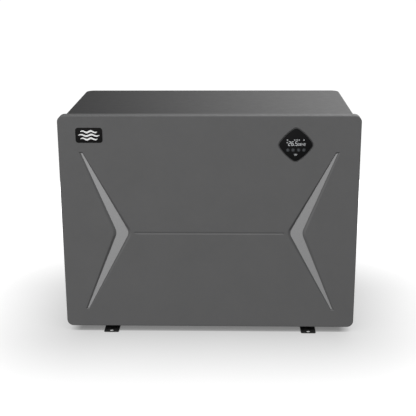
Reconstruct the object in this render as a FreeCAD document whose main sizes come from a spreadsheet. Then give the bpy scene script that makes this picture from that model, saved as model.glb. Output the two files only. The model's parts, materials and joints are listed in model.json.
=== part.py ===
"""Air-to-water pool heat pump with a closed front panel and side air outlets.

Frame: +X to the right seen from the front, +Y to the back, +Z up, millimetres. The origin is
the centre of the four anchor holes in the foot rails, on the floor.

Air is drawn through the finned coil at the back and left, pushed forward by the fan, and turned
by the front panel out of the two side grilles. The refrigerant circuit and the water heat
exchanger stand in the right-hand compartment.
"""

import FreeCAD, Part
import math
import os

import Sketcher
from FreeCAD import Placement, Rotation, Vector

OUTPUT_FOLDER = "parts"
SHEET_NAME = "dims"

# Alias, value in millimetres (or degrees), meaning.
SIZES = [
    ("panel_width", 872, "front panel, side to side"),
    ("panel_height", 652, "front panel, bottom to top"),
    ("ground_gap", 15, "floor to the front panel and the base tray"),
    ("panel_return", 31, "depth of the front panel's rim"),
    ("panel_face", 4, "thickness of the front panel's face"),
    ("panel_rim", 3, "thickness of the front panel's rim"),
    ("panel_corner", 19, "corner radius of the front panel"),
    ("panel_edge", 3.5, "rounding of the front panel's face edge"),
    ("cabinet_width", 834, "top cover, side to side"),
    ("cabinet_depth", 423, "back of the panel's rim to the back of the cabinet"),
    ("cabinet_top", 664, "height of the top cover"),
    ("cabinet_corner", 26, "radius of the top cover's rear corners"),
    ("cover_edge", 4, "rounding of the top cover's upper edge"),
    ("sheet", 1.5, "thickness of the cabinet's steel sheet"),
    ("wall", 4, "depth of the side and rear wall pieces"),
    ("lap", 0.3, "play between the top cover's rim and the walls"),
    ("cover_rim", 24, "height of the top cover's rim"),
    ("tray_rim", 42, "height of the base tray's rim"),
    ("anchor_span_x", 600, "anchor holes, side to side"),
    ("anchor_span_y", 466, "anchor holes, front to back"),
    ("anchor_hole", 12, "diameter of an anchor hole"),
    ("anchor_setback", 3, "anchor hole to the plane of the front face"),
    ("rail_width", 45, "width of a foot rail"),
    ("rail_steel", 2, "thickness of a foot rail"),
    ("rail_tab", 11, "anchor hole to the end of its tab"),
    ("chevron_middle", 300, "panel bottom to the chevrons' elbows"),
    ("chevron_reach", 242, "elbow to a chevron's tip, upwards or downwards"),
    ("chevron_tip", 369, "panel centre to the middle of a chevron's tip"),
    ("chevron_blunt", 5.5, "width of a chevron's blunt tip"),
    ("chevron_outer", 274, "panel centre to a chevron's outer elbow"),
    ("chevron_inner", 236, "panel centre to a chevron's inner elbow"),
    ("recess_depth", 2.6, "depth of a chevron's recess"),
    ("recess_bevel", 7, "width of the sloping side of a recess"),
    ("trim_steel", 1, "thickness of a chevron"),
    ("crease_width", 11, "width of the crease between the chevrons"),
    ("crease_depth", 2.6, "depth of the crease"),
    ("crease_gap", 4, "elbow of a recess to the end of the crease"),
    ("display_x", 250, "panel centre to the display's centre"),
    ("display_z", 567, "panel bottom to the display's centre"),
    ("display_reach", 49, "display centre to a corner"),
    ("display_tip", 12, "radius of a display corner"),
    ("display_bulge", 41, "display centre to the middle of a side"),
    ("badge_x", 345, "panel centre to the badge's centre"),
    ("badge_z", 595, "panel bottom to the badge's centre"),
    ("badge_width", 78, "badge, side to side"),
    ("badge_height", 44, "badge, bottom to top"),
    ("baffle_y", -100, "front of the fan baffle"),
    ("fan_x", -113, "fan axis, sideways"),
    ("fan_z", 348, "fan axis, height"),
    ("fan_radius", 238, "tip of a fan blade"),
    ("fan_gap", 8, "blade tip to the orifice ring"),
    ("orifice_depth", 34, "front of the baffle to the end of the orifice ring"),
    ("orifice_flange", 12, "width of the orifice ring's two flanges"),
    ("shaft_radius", 6, "radius of the fan shaft"),
    ("partition_x", 195, "partition between the fan and the compressor"),
    ("coil_thick", 44, "thickness of the finned coil"),
    ("coil_top", 640, "top of the finned coil"),
    ("coil_end_x", 172, "right-hand end of the finned coil"),
    ("coil_end_y", -60, "front end of the finned coil"),
    ("exchanger_x", 290, "axis of the water heat exchanger, sideways"),
    ("exchanger_y", 130, "axis of the water heat exchanger, front to back"),
    ("exchanger_radius", 68, "outside of the exchanger's shell"),
    ("exchanger_top", 430, "top of the exchanger's shell"),
    ("inlet_z", 135, "height of the water inlet"),
    ("outlet_z", 365, "height of the water outlet"),
    ("water_bore", 21, "bore of the water ways"),
    ("socket_radius", 25.1, "socket radius for a 50 mm pipe"),
    ("socket_length", 31, "depth of a pipe socket"),
    ("union_radius", 33, "outside of the union's thread and flange"),
    ("nut_radius", 41, "outside of a union nut"),
    ("thread_gap", 0.3, "play between a union nut and what it turns on"),
    ("compressor_x", 318, "axis of the compressor, sideways"),
    ("compressor_y", -25, "axis of the compressor, front to back"),
    ("compressor_radius", 60, "outside of the compressor's shell"),
    ("gauge_y", -30, "axis of the pressure gauge, front to back"),
    ("gauge_z", 390, "axis of the pressure gauge, height"),
    ("gauge_radius", 30, "outside of the gauge's case"),
    ("gland_y", -60, "axis of the cable glands, front to back"),
    ("turning_gap", 0.05, "radial clearance of a turning fit"),
]


class Size:
    """A number together with the sheet expression that gives it."""

    def __init__(self, value, text):
        self.value = float(value)
        self.text = text

    def __float__(self):
        return self.value

    def __add__(self, other):
        return combined(self, "+", other)

    def __radd__(self, other):
        return combined(other, "+", self)

    def __sub__(self, other):
        return combined(self, "-", other)

    def __rsub__(self, other):
        return combined(other, "-", self)

    def __mul__(self, other):
        return combined(self, "*", other)

    def __rmul__(self, other):
        return combined(other, "*", self)

    def __truediv__(self, other):
        return combined(self, "/", other)

    def __neg__(self):
        return combined(0, "-", self)


OPERATIONS = {
    "+": lambda a, b: a + b,
    "-": lambda a, b: a - b,
    "*": lambda a, b: a * b,
    "/": lambda a, b: a / b,
}


def as_size(number):
    """A plain number becomes a Size whose expression is the number itself."""
    return number if isinstance(number, Size) else Size(number, f"({float(number)!r})")


def combined(left, sign, right):
    left, right = as_size(left), as_size(right)
    value = OPERATIONS[sign](left.value, right.value)
    return Size(value, f"({left.text} {sign} {right.text})")


class Sheet:
    """The driving dimensions, one attribute for each alias."""

    def __init__(self, document, rows):
        cells = document.addObject("Spreadsheet::Sheet", SHEET_NAME)
        for line, (alias, value, meaning) in enumerate(rows, start=1):
            cells.set(f"A{line}", meaning)
            cells.set(f"B{line}", str(value))
            cells.setAlias(f"B{line}", alias)
            setattr(self, alias, Size(value, f"{SHEET_NAME}.{alias}"))
        document.recompute()


doc = FreeCAD.newDocument("pool_heat_pump")
s = Sheet(doc, SIZES)
pieces = {}

# Planes and places that follow from the driving dimensions.
FACE_Y = s.anchor_setback - s.anchor_span_y / 2
RIM_Y = FACE_Y + s.panel_return
REAR_Y = RIM_Y + s.cabinet_depth
PANEL_TOP = s.ground_gap + s.panel_height
CHEVRON_Z = s.ground_gap + s.chevron_middle
COVER_X = s.cabinet_width / 2
COVER_IN = s.cabinet_top - s.sheet
COVER_LOW = s.cabinet_top - s.cover_rim
WALL_X = COVER_X - s.sheet - s.lap
WALL_IN = WALL_X - s.wall
WALL_REAR = REAR_Y - s.sheet - s.lap
WALL_REAR_IN = WALL_REAR - s.wall
WALL_CORNER = s.cabinet_corner - s.sheet - s.lap
TRAY_FLOOR = s.ground_gap + s.sheet
TRAY_TOP = s.ground_gap + s.tray_rim
WALL_TOP = COVER_IN - s.lap
BAFFLE_BACK = s.baffle_y + s.sheet
SIDES = {"left": -1, "right": 1}
HEIGHTS = {"inlet": s.inlet_z, "outlet": s.outlet_z}

TURN_TO = {
    "z": Rotation(),
    "x": Rotation(Vector(0, 1, 0), 90),
    "y": Rotation(Vector(1, 0, 0), -90),
}


# ---------------------------------------------------------------- document helpers


def bind(thing, prop, value):
    """Bind a property to the sheet through the value's expression."""
    thing.setExpression(prop, as_size(value).text)


def place(thing, at, rotation=None):
    """Put a primitive's own origin at a point, after an optional turn."""
    if rotation is not None:
        thing.Placement = Placement(Vector(), rotation)
    for letter, value in zip("xyz", at):
        bind(thing, f"Placement.Base.{letter}", value)
    return thing


def box(low, high, name="block"):
    """A block between two corners."""
    block = doc.addObject("Part::Box", name)
    for prop, start, end in zip(("Length", "Width", "Height"), low, high):
        bind(block, prop, end - start)
    return place(block, low)


def rod(radius, at, length, axis="z", name="rod", sector=None):
    """A round bar that starts at a point and runs along an axis."""
    bar = doc.addObject("Part::Cylinder", name)
    bind(bar, "Radius", radius)
    bind(bar, "Height", length)
    if sector is not None:
        bar.Angle = sector
    return place(bar, at, TURN_TO[axis])


def cone(radius, end_radius, at, length, axis="z", name="cone"):
    bar = doc.addObject("Part::Cone", name)
    bind(bar, "Radius1", radius)
    bind(bar, "Radius2", end_radius)
    bind(bar, "Height", length)
    return place(bar, at, TURN_TO[axis])


def hexagon(across_flats, at, length, axis="z", name="hexagon"):
    """A six-sided prism, as of a nut."""
    prism = doc.addObject("Part::Prism", name)
    prism.Polygon = 6
    bind(prism, "Circumradius", across_flats / math.sqrt(3))
    bind(prism, "Height", length)
    return place(prism, at, TURN_TO[axis])


def fuse(*shapes, name="fusion"):
    joined = doc.addObject("Part::MultiFuse", name)
    joined.Shapes = list(shapes)
    return joined


def cut(base, *tools, name="cut"):
    left = doc.addObject("Part::Cut", name)
    left.Base = base
    left.Tool = tools[0] if len(tools) == 1 else fuse(*tools, name="tools")
    return left


def common(first, second, name="common"):
    shared = doc.addObject("Part::Common", name)
    shared.Base = first
    shared.Tool = second
    return shared


def group(*solids, name="group"):
    """Separate solids kept together in one node."""
    together = doc.addObject("Part::Compound", name)
    together.Links = list(solids)
    return together


def tube(outer, inner, at, length, axis="z", name="tube"):
    """A round pipe piece."""
    return cut(rod(outer, at, length, axis), rod(inner, at, length, axis), name=name)


def feature(shape, name="shape"):
    """A shape made with Part's own functions."""
    held = doc.addObject("Part::Feature", name)
    held.Shape = shape
    return held


def keep(label, thing):
    """Register a finished sub-part under its node name."""
    thing.Label = label
    pieces[label] = thing
    return thing


def edges_where(thing, test):
    """Names of the edges whose middle passes a test, on a recomputed object."""
    doc.recompute()
    numbers = []
    for number, edge in enumerate(thing.Shape.Edges, start=1):
        if test(edge.valueAt((edge.FirstParameter + edge.LastParameter) / 2)):
            numbers.append(number)
    return numbers


def rounded(base, radius, test, name="rounded"):
    """A Part fillet on the edges that pass a test."""
    numbers = edges_where(base, test)
    fillet = doc.addObject("Part::Fillet", name)
    fillet.Base = base
    fillet.Edges = [(number, float(radius), float(radius)) for number in numbers]
    return fillet


# ---------------------------------------------------------------- sketch helpers


def new_body(name):
    return doc.addObject("PartDesign::Body", name)


def sketch_in(body, plane, height, name="profile"):
    """A sketch on one of the body's origin planes, moved along that plane's normal.

    XZ faces forwards (-Y), so a height there is measured towards -Y.
    """
    profile = body.newObject("Sketcher::SketchObject", name)
    support = [f for f in body.Origin.OriginFeatures if f.Role == plane + "_Plane"]
    profile.AttachmentSupport = [(support[0], "")]
    profile.MapMode = "FlatFace"
    bind(profile, "AttachmentOffset.Base.z", height)
    return profile


def constrain(sketch, kind, *what, value=None):
    """Add a constraint, and bind its value to the sheet when it has one."""
    if value is None:
        return sketch.addConstraint(Sketcher.Constraint(kind, *what))
    index = sketch.addConstraint(Sketcher.Constraint(kind, *what, float(value)))
    bind(sketch, f"Constraints[{index}]", value)
    return index


def draw_polygon(sketch, corners):
    """A closed outline of straight lines, each corner placed from the sketch's origin."""
    points = [Vector(float(x), float(y), 0) for x, y in corners]
    first = sketch.GeometryCount
    count = len(points)
    for start, end in zip(points, points[1:] + points[:1]):
        sketch.addGeometry(Part.LineSegment(start, end), False)
    for i, (x, y) in enumerate(corners):
        constrain(sketch, "Coincident", first + i, 1, first + (i - 1) % count, 2)
        constrain(sketch, "DistanceX", -1, 1, first + i, 1, value=x)
        constrain(sketch, "DistanceY", -1, 1, first + i, 1, value=y)


def draw_rounded_rectangle(sketch, low, high, radius):
    """A rectangle between two corners, with the same radius at all four."""
    x0, y0, x1, y1, r = (float(v) for v in (*low, *high, radius))
    runs = [
        ((x0 + r, y0), (x1 - r, y0), (x1 - r, y0 + r), -90),
        ((x1, y0 + r), (x1, y1 - r), (x1 - r, y1 - r), 0),
        ((x1 - r, y1), (x0 + r, y1), (x0 + r, y1 - r), 90),
        ((x0, y1 - r), (x0, y0 + r), (x0 + r, y0 + r), 180),
    ]
    first = sketch.GeometryCount
    for start, end, centre, angle in runs:
        line = Part.LineSegment(Vector(*start, 0), Vector(*end, 0))
        circle = Part.Circle(Vector(*centre, 0), Vector(0, 0, 1), r)
        turn = math.radians(angle)
        sketch.addGeometry(line, False)
        sketch.addGeometry(Part.ArcOfCircle(circle, turn, turn + math.pi / 2), False)
    for i in range(8):
        constrain(sketch, "Tangent", first + i, 2, first + (i + 1) % 8, 1)
    for i in (0, 4):
        constrain(sketch, "Horizontal", first + i)
        constrain(sketch, "Vertical", first + i + 2)
    for i in (3, 5, 7):
        constrain(sketch, "Equal", first + 1, first + i)
    constrain(sketch, "Radius", first + 1, value=radius)
    constrain(sketch, "DistanceY", -1, 1, first, 1, value=low[1])
    constrain(sketch, "DistanceX", -1, 1, first + 2, 1, value=high[0])
    constrain(sketch, "DistanceY", -1, 1, first + 4, 1, value=high[1])
    constrain(sketch, "DistanceX", -1, 1, first + 6, 1, value=low[0])


def pad(body, profile, length, backwards=False, name="Pad"):
    solid = body.newObject("PartDesign::Pad", name)
    solid.Profile = profile
    bind(solid, "Length", length)
    solid.Reversed = backwards
    profile.Visibility = False
    return solid


def pocket(body, profile, length, backwards=False, name="Pocket"):
    """A pocket, which has to take material away."""
    doc.recompute()
    before = body.Shape.Volume
    hollow = body.newObject("PartDesign::Pocket", name)
    hollow.Profile = profile
    bind(hollow, "Length", length)
    hollow.Reversed = backwards
    doc.recompute()
    if not body.Shape.Volume < before - 1:
        raise RuntimeError(f"{body.Name}: {name} cuts nothing")
    return hollow


def fillet_body(body, radius, test, name="Fillet"):
    """Round the edges of a body's tip that pass a test."""
    base = body.Tip
    numbers = edges_where(base, test)
    blend = body.newObject("PartDesign::Fillet", name)
    blend.Base = (base, [f"Edge{n}" for n in numbers])
    bind(blend, "Radius", radius)
    return blend


def revolve(name, outline, at, axis="z"):
    """A body turned from an outline of (radius, height) points about an axis through a point."""
    body = new_body(name)
    profile = sketch_in(body, "XZ", 0)
    draw_polygon(profile, outline)
    turned = body.newObject("PartDesign::Revolution", "Revolution")
    turned.Profile = profile
    turned.ReferenceAxis = (profile, ["V_Axis"])
    turned.Angle = 360
    return place(body, at, TURN_TO[axis])


# ---------------------------------------------------------------- shared shapes

SCREW_SHANK = 1.9
SCREW_HOLE = 2.0
SCREW_HEAD = 4.2
SCREW_DOME = 2.2


def moved(at, axis, distance):
    """A point moved along x, y or z."""
    shifted = list(at)
    shifted["xyz".index(axis)] = shifted["xyz".index(axis)] + distance
    return tuple(shifted)


def rod_about(radius, at, axis, start, end):
    """A round bar through a point, from one distance along the axis to a larger one."""
    return rod(radius, moved(at, axis, start), as_size(end) - start, axis)


def screw(at, axis, sign, grip):
    """A pan-head screw seated on a surface, whose outward direction is sign times the axis."""
    span = (0, SCREW_DOME) if sign > 0 else (-SCREW_DOME, 0)
    reach = (-grip, 0) if sign > 0 else (0, grip)
    return fuse(rod_about(SCREW_HEAD, at, axis, *span), rod_about(SCREW_SHANK, at, axis, *reach))


def screw_holes(spots, axis, depth=30):
    """Cutting tools for a list of screw positions, to both sides of each seat."""
    return [rod_about(SCREW_HOLE, at, axis, -depth, depth) for at in spots]


def screw_group(label, spots, axis, grip):
    """One node of identical screws. Each spot is a seat and the sign of its outward direction."""
    return keep(label, group(*[screw(at, axis, sign, grip) for at, sign in spots]))


def bent_pipe(radius, points, bend):
    """A round pipe along straight runs joined by arcs of one radius."""
    corners = [Vector(*(float(v) for v in point)) for point in points]
    edges = []
    start = corners[0]
    for before, corner, after in zip(corners, corners[1:], corners[2:]):
        into, out = (corner - before).normalize(), (after - corner).normalize()
        turn = into.getAngle(out)
        reach = float(bend) * math.tan(turn / 2)
        first, last = corner - into * reach, corner + out * reach
        inward = (out - into).normalize()
        centre = corner + inward * (float(bend) / math.cos(turn / 2))
        middle = centre - inward * float(bend)
        edges.append(Part.LineSegment(start, first).toShape())
        edges.append(Part.Arc(first, middle, last).toShape())
        start = last
    edges.append(Part.LineSegment(start, corners[-1]).toShape())
    heading = (corners[1] - corners[0]).normalize()
    ring = Part.Wire(Part.makeCircle(float(radius), corners[0], heading))
    return feature(Part.Wire(edges).makePipeShell([ring], True, True))


def diamond(reach, start, end):
    """The display's outline, a bulging square on its corner, between two depths along Y.

    The sides and the rounded corners are arcs that meet without a kink.
    """
    a, tip = float(reach), float(s.display_tip)
    bulge = float(s.display_bulge) * a / float(s.display_reach)
    flat = a - tip
    side = (tip ** 2 - bulge ** 2 + math.sqrt(2) * flat * bulge - flat ** 2) / (
        math.sqrt(2) * flat + 2 * tip - 2 * bulge)
    offset = (bulge - side) / math.sqrt(2)
    middle = Vector(float(s.display_x), float(start), float(s.ground_gap + s.display_z))
    edges = []
    for quarter in range(4):
        def turned(x, z):
            angle = quarter * math.pi / 2
            across = x * math.cos(angle) - z * math.sin(angle)
            along = x * math.sin(angle) + z * math.cos(angle)
            return middle + Vector(across, 0, along)

        lean = math.atan2(-offset, flat - offset)
        join = (flat + tip * math.cos(lean), tip * math.sin(lean))
        edges.append(Part.Arc(turned(join[0], -join[1]), turned(a, 0), turned(*join)).toShape())
        half = bulge / math.sqrt(2)
        edges.append(Part.Arc(turned(*join), turned(half, half), turned(join[1], join[0])).toShape())
    face = Part.Face(Part.Wire(edges))
    return feature(face.extrude(Vector(0, float(end) - float(start), 0)))


# ---------------------------------------------------------------- screw positions

COVER_SCREW_Z = s.cabinet_top - 12
COVER_SPOTS = [((COVER_X * side, y, COVER_SCREW_Z), side)
               for side in (-1, 1) for y in (-144, 20, 170)]
POST_INSET = WALL_CORNER + 9
POST_X = WALL_X - POST_INSET
POST_Y = WALL_REAR - POST_INSET
POST_HEIGHTS = (110, 350, 600)
REAR_SPOTS = [((POST_X * side, WALL_REAR, z), 1) for side in (-1, 1) for z in POST_HEIGHTS]
SIDE_SPOTS = [((WALL_X * side, POST_Y, z), side) for side in (-1, 1) for z in POST_HEIGHTS]
RIM_SCREW_X = s.panel_width / 2 - 10.5
RIM_SPOTS = [((RIM_SCREW_X * side, RIM_Y, z), 1) for side in (-1, 1) for z in (70, 340, 610)]
HATCH_LOW = (-80, 480)
HATCH_HIGH = (50, 620)
HATCH_SPOTS = [((WALL_X + 2, y, z), 1) for y in (HATCH_LOW[0] + 8, HATCH_HIGH[0] - 8)
               for z in (HATCH_LOW[1] + 8, HATCH_HIGH[1] - 8)]


def seats(spots):
    return [at for at, _ in spots]


# ---------------------------------------------------------------- front panel and display


# How far a chevron's elbows and the far ends of its tips go sideways when it grows by 1.
ELBOW_SHARE, TIP_SHARE = 1.1, 0.8


def chevron_corners(side, grow=0):
    """A chevron's six corners, from the upper tip by the inner elbow to the lower tip and back.

    Its tips are blunt and point to the panel's corners. grow widens it, most of all at the elbows.
    """
    grow = as_size(grow)
    blunt = s.chevron_blunt / 2
    reach = s.chevron_reach + grow / 2
    far = (s.chevron_tip + blunt + grow * TIP_SHARE) * side
    near = (s.chevron_tip - blunt) * side
    inner = (s.chevron_inner - grow * ELBOW_SHARE) * side
    outer = (s.chevron_outer + grow * ELBOW_SHARE) * side
    return [
        (far, CHEVRON_Z + reach),
        (near, CHEVRON_Z + reach),
        (inner, CHEVRON_Z),
        (near, CHEVRON_Z - reach),
        (far, CHEVRON_Z - reach),
        (outer, CHEVRON_Z),
    ]


def make_front_panel():
    """A deep pressed tray with a rounded rim, two sloping recesses and a crease between them."""
    body = new_body("front_panel_body")
    low = (-s.panel_width / 2, s.ground_gap)
    high = (s.panel_width / 2, PANEL_TOP)
    outline = sketch_in(body, "XZ", -RIM_Y, "outline")
    draw_rounded_rectangle(outline, low, high, s.panel_corner)
    pad(body, outline, s.panel_return)
    front = float(FACE_Y)
    fillet_body(body, s.panel_edge, lambda at: abs(at.y - front) < 0.01)

    inside = sketch_in(body, "XZ", -RIM_Y, "inside")
    rim = s.panel_rim
    draw_rounded_rectangle(inside, (low[0] + rim, low[1] + rim), (high[0] - rim, high[1] - rim),
                           s.panel_corner - rim)
    pocket(body, inside, s.panel_return - s.panel_face, backwards=True, name="Inside")

    for word, side in SIDES.items():
        mouth = sketch_in(body, "XZ", -FACE_Y, f"mouth_{word}")
        draw_polygon(mouth, chevron_corners(side, s.recess_bevel))
        floor = sketch_in(body, "XZ", -FACE_Y - s.recess_depth, f"floor_{word}")
        draw_polygon(floor, chevron_corners(side))
        doc.recompute()
        before = body.Shape.Volume
        recess = body.newObject("PartDesign::SubtractiveLoft", f"Recess_{word}")
        recess.Profile = mouth
        recess.Sections = [floor]
        recess.Ruled = True
        doc.recompute()
        if not body.Shape.Volume < before - 1:
            raise RuntimeError(f"the {word} recess cuts nothing")

    section = sketch_in(body, "YZ", 0, "crease")
    half = s.crease_width / 2
    draw_polygon(section, [(FACE_Y, CHEVRON_Z - half), (FACE_Y + s.crease_depth, CHEVRON_Z),
                           (FACE_Y, CHEVRON_Z + half), (FACE_Y - 1, CHEVRON_Z)])
    doc.recompute()
    before = body.Shape.Volume
    crease = body.newObject("PartDesign::Pocket", "Crease")
    crease.Profile = section
    crease.Midplane = True
    bind(crease, "Length", (s.chevron_inner - s.recess_bevel * ELBOW_SHARE - s.crease_gap) * 2)
    doc.recompute()
    if not body.Shape.Volume < before - 1:
        raise RuntimeError("the crease cuts nothing")

    bosses = [rod(5, (at[0], FACE_Y + s.panel_face - 1, at[2]), s.panel_return - s.panel_face - 1,
                  "y") for at in seats(RIM_SPOTS)]
    window = diamond(s.display_reach, FACE_Y - 1, FACE_Y + s.panel_face + 1)
    pilots = [rod(SCREW_SHANK, (at[0], RIM_Y - 22, at[2]), 22, "y") for at in seats(RIM_SPOTS)]
    keep("front_panel", cut(fuse(body, *bosses), window, *pilots))


def make_chevrons():
    for word, side in SIDES.items():
        body = new_body(f"chevron_{word}_body")
        outline = sketch_in(body, "XZ", -FACE_Y - s.recess_depth, "outline")
        draw_polygon(outline, chevron_corners(side))
        pad(body, outline, s.trim_steel)
        keep(f"chevron_trim_{word}", body)


def make_badge():
    body = new_body("badge_body")
    outline = sketch_in(body, "XZ", -FACE_Y, "outline")
    low = (-s.badge_x - s.badge_width / 2, s.ground_gap + s.badge_z - s.badge_height / 2)
    high = (-s.badge_x + s.badge_width / 2, s.ground_gap + s.badge_z + s.badge_height / 2)
    draw_rounded_rectangle(outline, low, high, 8)
    pad(body, outline, 1.2)
    keep("badge_plate", body)


def make_display():
    """Glass in a thin bezel, over a board in a housing behind the panel's face."""
    back = FACE_Y + s.panel_face
    rim = 1.6
    glass = 2.2
    ring = cut(diamond(s.display_reach, FACE_Y - 0.9, back),
               diamond(s.display_reach - rim, FACE_Y - 2, back + 1))
    keep("display_bezel", ring)
    keep("display_glass", diamond(s.display_reach - rim, FACE_Y - 0.4, FACE_Y - 0.4 + glass))
    x, z = s.display_x, s.ground_gap + s.display_z
    half, deep, shell = 53, 20, 2
    case = box((x - half, back, z - half), (x + half, back + deep, z + half))
    hollow = box((x - half + shell, back, z - half + shell),
                 (x + half - shell, back + deep - shell, z + half - shell))
    keep("display_housing", cut(case, hollow))
    board = box((x - 46, back + 6, z - 46), (x + 46, back + 7.6, z + 46))
    chips = [box((x + dx, back + 7.6, z + dz), (x + dx + 14, back + 10.6, z + dz + 14))
             for dx, dz in ((-30, -20), (10, -24), (-6, 12))]
    posts = [box((x + dx - 3, back + 7.6, z + dz - 3), (x + dx + 3, back + deep - shell, z + dz + 3))
             for dx in (-40, 40) for dz in (-40, 40)]
    keep("display_board", fuse(board, *chips, *posts))


# ---------------------------------------------------------------- cabinet


def make_front_frame():
    """The plate that closes the back of the front panel's rim and carries the panel."""
    body = new_body("front_frame_body")
    edge = s.panel_rim + 0.2
    low = (-s.panel_width / 2 + edge, s.ground_gap + edge)
    high = (s.panel_width / 2 - edge, PANEL_TOP - edge)
    outline = sketch_in(body, "XZ", -RIM_Y, "outline")
    draw_rounded_rectangle(outline, low, high, s.panel_corner - edge)
    pad(body, outline, 2)
    side_border, end_border, corner = 8, 4, 4
    inner = sketch_in(body, "XZ", -RIM_Y, "opening")
    draw_rounded_rectangle(inner, (-WALL_IN + side_border, TRAY_TOP + end_border),
                           (WALL_IN - side_border, COVER_LOW - end_border), corner)
    pocket(body, inner, 3, backwards=True)
    keep("front_frame", cut(body, *screw_holes(seats(RIM_SPOTS), "y", 6)))


def make_top_cover():
    """A shallow lid, open towards the front panel, with rounded rear corners."""
    body = new_body("top_cover_body")
    outline = sketch_in(body, "XY", COVER_LOW, "outline")
    draw_rounded_rectangle(outline, (-COVER_X, RIM_Y - 40), (COVER_X, REAR_Y), s.cabinet_corner)
    pad(body, outline, s.cover_rim)
    top = float(s.cabinet_top)
    fillet_body(body, s.cover_edge, lambda at: abs(at.z - top) < 0.01)
    inside = sketch_in(body, "XY", COVER_LOW, "inside")
    edge = s.sheet
    draw_rounded_rectangle(inside, (-COVER_X + edge, RIM_Y - 38), (COVER_X - edge, REAR_Y - edge),
                           s.cabinet_corner - edge)
    pocket(body, inside, s.cover_rim - s.sheet, backwards=True)
    front_end = box((-COVER_X - 1, RIM_Y - 60, COVER_LOW - 1), (COVER_X + 1, RIM_Y, s.cabinet_top + 1))
    keep("top_cover", cut(body, front_end, *screw_holes(seats(COVER_SPOTS), "x", 8)))


def make_base_tray():
    """The drip tray: an upturned rim all round, with a drain hole and four rail screws."""
    body = new_body("base_tray_body")
    outline = sketch_in(body, "XY", s.ground_gap, "outline")
    draw_rounded_rectangle(outline, (-WALL_X, RIM_Y - 40), (WALL_X, WALL_REAR), WALL_CORNER)
    pad(body, outline, s.tray_rim)
    inside = sketch_in(body, "XY", TRAY_TOP, "inside")
    edge = s.sheet
    draw_rounded_rectangle(inside, (-WALL_X + edge, RIM_Y - 38), (WALL_X - edge, WALL_REAR - edge),
                           WALL_CORNER - edge)
    pocket(body, inside, s.tray_rim - s.sheet)
    front_end = box((-WALL_X - 1, RIM_Y - 60, 0), (WALL_X + 1, RIM_Y, TRAY_TOP + 1))
    lip = box((-WALL_X + 1, RIM_Y, TRAY_FLOOR), (WALL_X - 1, RIM_Y + s.sheet, TRAY_TOP))
    drain = rod(10.2, (0, 60, 0), 40)
    keep("base_tray", cut(fuse(cut(body, front_end), lip), drain, *rail_holes()))


RAIL_SCREW_Y = (-120, 140)


def rail_holes():
    return [rod(SCREW_HOLE, (s.anchor_span_x / 2 * side, y, 8), 12)
            for side in (-1, 1) for y in RAIL_SCREW_Y]


def make_foot_rails():
    """A channel under the tray, ending in a flat drilled tab at the front and at the back."""
    half = s.rail_width / 2
    reach = s.anchor_span_y / 2 + s.rail_tab
    steel = s.rail_steel
    for word, side in SIDES.items():
        x = s.anchor_span_x / 2 * side
        channel = box((x - half, RIM_Y + 4, 0), (x + half, WALL_REAR - 6, s.ground_gap))
        hollow = box((x - half + steel, RIM_Y + 4 + steel, -1),
                     (x + half - steel, WALL_REAR - 6 - steel, s.ground_gap - steel))
        tabs = [box((x - half, -reach, 0), (x + half, RIM_Y + 5, steel)),
                box((x - half, WALL_REAR - 7, 0), (x + half, reach, steel))]
        shell = fuse(cut(channel, hollow), *tabs)
        ends, middle = float(reach), float(steel) / 2
        soft = rounded(shell, 5, lambda at: abs(abs(at.y) - ends) < 0.1 and abs(at.z - middle) < 0.1)
        anchors = [rod(s.anchor_hole / 2, (x, s.anchor_span_y / 2 * end, -1), 8) for end in (-1, 1)]
        keep(f"foot_rail_{word}", cut(soft, *anchors, *rail_holes()))
    keep("rail_screws", group(*[
        fuse(rod(SCREW_HEAD, (s.anchor_span_x / 2 * side, y, TRAY_FLOOR), SCREW_DOME),
             rod(SCREW_SHANK, (s.anchor_span_x / 2 * side, y, 8.5), TRAY_FLOOR - 8.5))
        for side in (-1, 1) for y in RAIL_SCREW_Y]))


def make_drain_spout():
    flange = rod(16, (0, 60, TRAY_FLOOR), 2)
    stem = rod(10, (0, 60, 4), TRAY_FLOOR - 3)
    keep("drain_spout", cut(fuse(flange, stem), rod(7.5, (0, 60, 3), 20)))


def wall_grid(low, high, stile, pitch, across):
    """A guard in a plane: a frame with upright and level bars at two depths.

    low and high are the box's corners, stile is the frame's width, across is "x" or "y", the
    direction along the wall. The upright bars lie outermost, in the wall's outer half.
    """
    along = "xyz".index(across)
    through = 1 - along
    outer, inner = (high, low) if float(low[through]) > 0 else (low, high)
    middle = (low[through] + high[through]) / 2
    frame_hole_low, frame_hole_high = list(low), list(high)
    frame_hole_low[along] = low[along] + stile
    frame_hole_high[along] = high[along] - stile
    frame_hole_low[2] = low[2] + stile
    frame_hole_high[2] = high[2] - stile
    frame_hole_low[through] = low[through] - 1
    frame_hole_high[through] = high[through] + 1
    frame = cut(box(low, high), box(frame_hole_low, frame_hole_high))
    bars = []
    thick = 3
    length = float(frame_hole_high[along] - frame_hole_low[along])
    count = round(length / pitch)
    for i in range(1, count):
        centre = frame_hole_low[along] + length * i / count
        bars.append(grid_bar(along, through, centre, thick, (low[2] + 2, high[2] - 2),
                             (middle, outer[through])))
    height = float(frame_hole_high[2] - frame_hole_low[2])
    count = round(height / (pitch * 2))
    for i in range(1, count):
        level = frame_hole_low[2] + height * i / count
        near, far = sorted((middle, inner[through]), key=float)
        start, end = list(low), list(high)
        start[along], end[along] = low[along] + 2, high[along] - 2
        start[through], end[through] = near, far
        start[2], end[2] = level - thick / 2, level + thick / 2
        bars.append(box(start, end))
    return fuse(frame, *bars)


def grid_bar(along, through, centre, thick, levels, depths):
    """One upright bar of a guard."""
    near, far = sorted(depths, key=float)
    start, end = [0, 0, levels[0]], [0, 0, levels[1]]
    start[along], end[along] = centre - thick / 2, centre + thick / 2
    start[through], end[through] = near, far
    return box(start, end)


CORNER_X = WALL_X - WALL_CORNER
CORNER_Y = WALL_REAR - WALL_CORNER
REAR_SPLIT = s.coil_end_x


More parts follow.
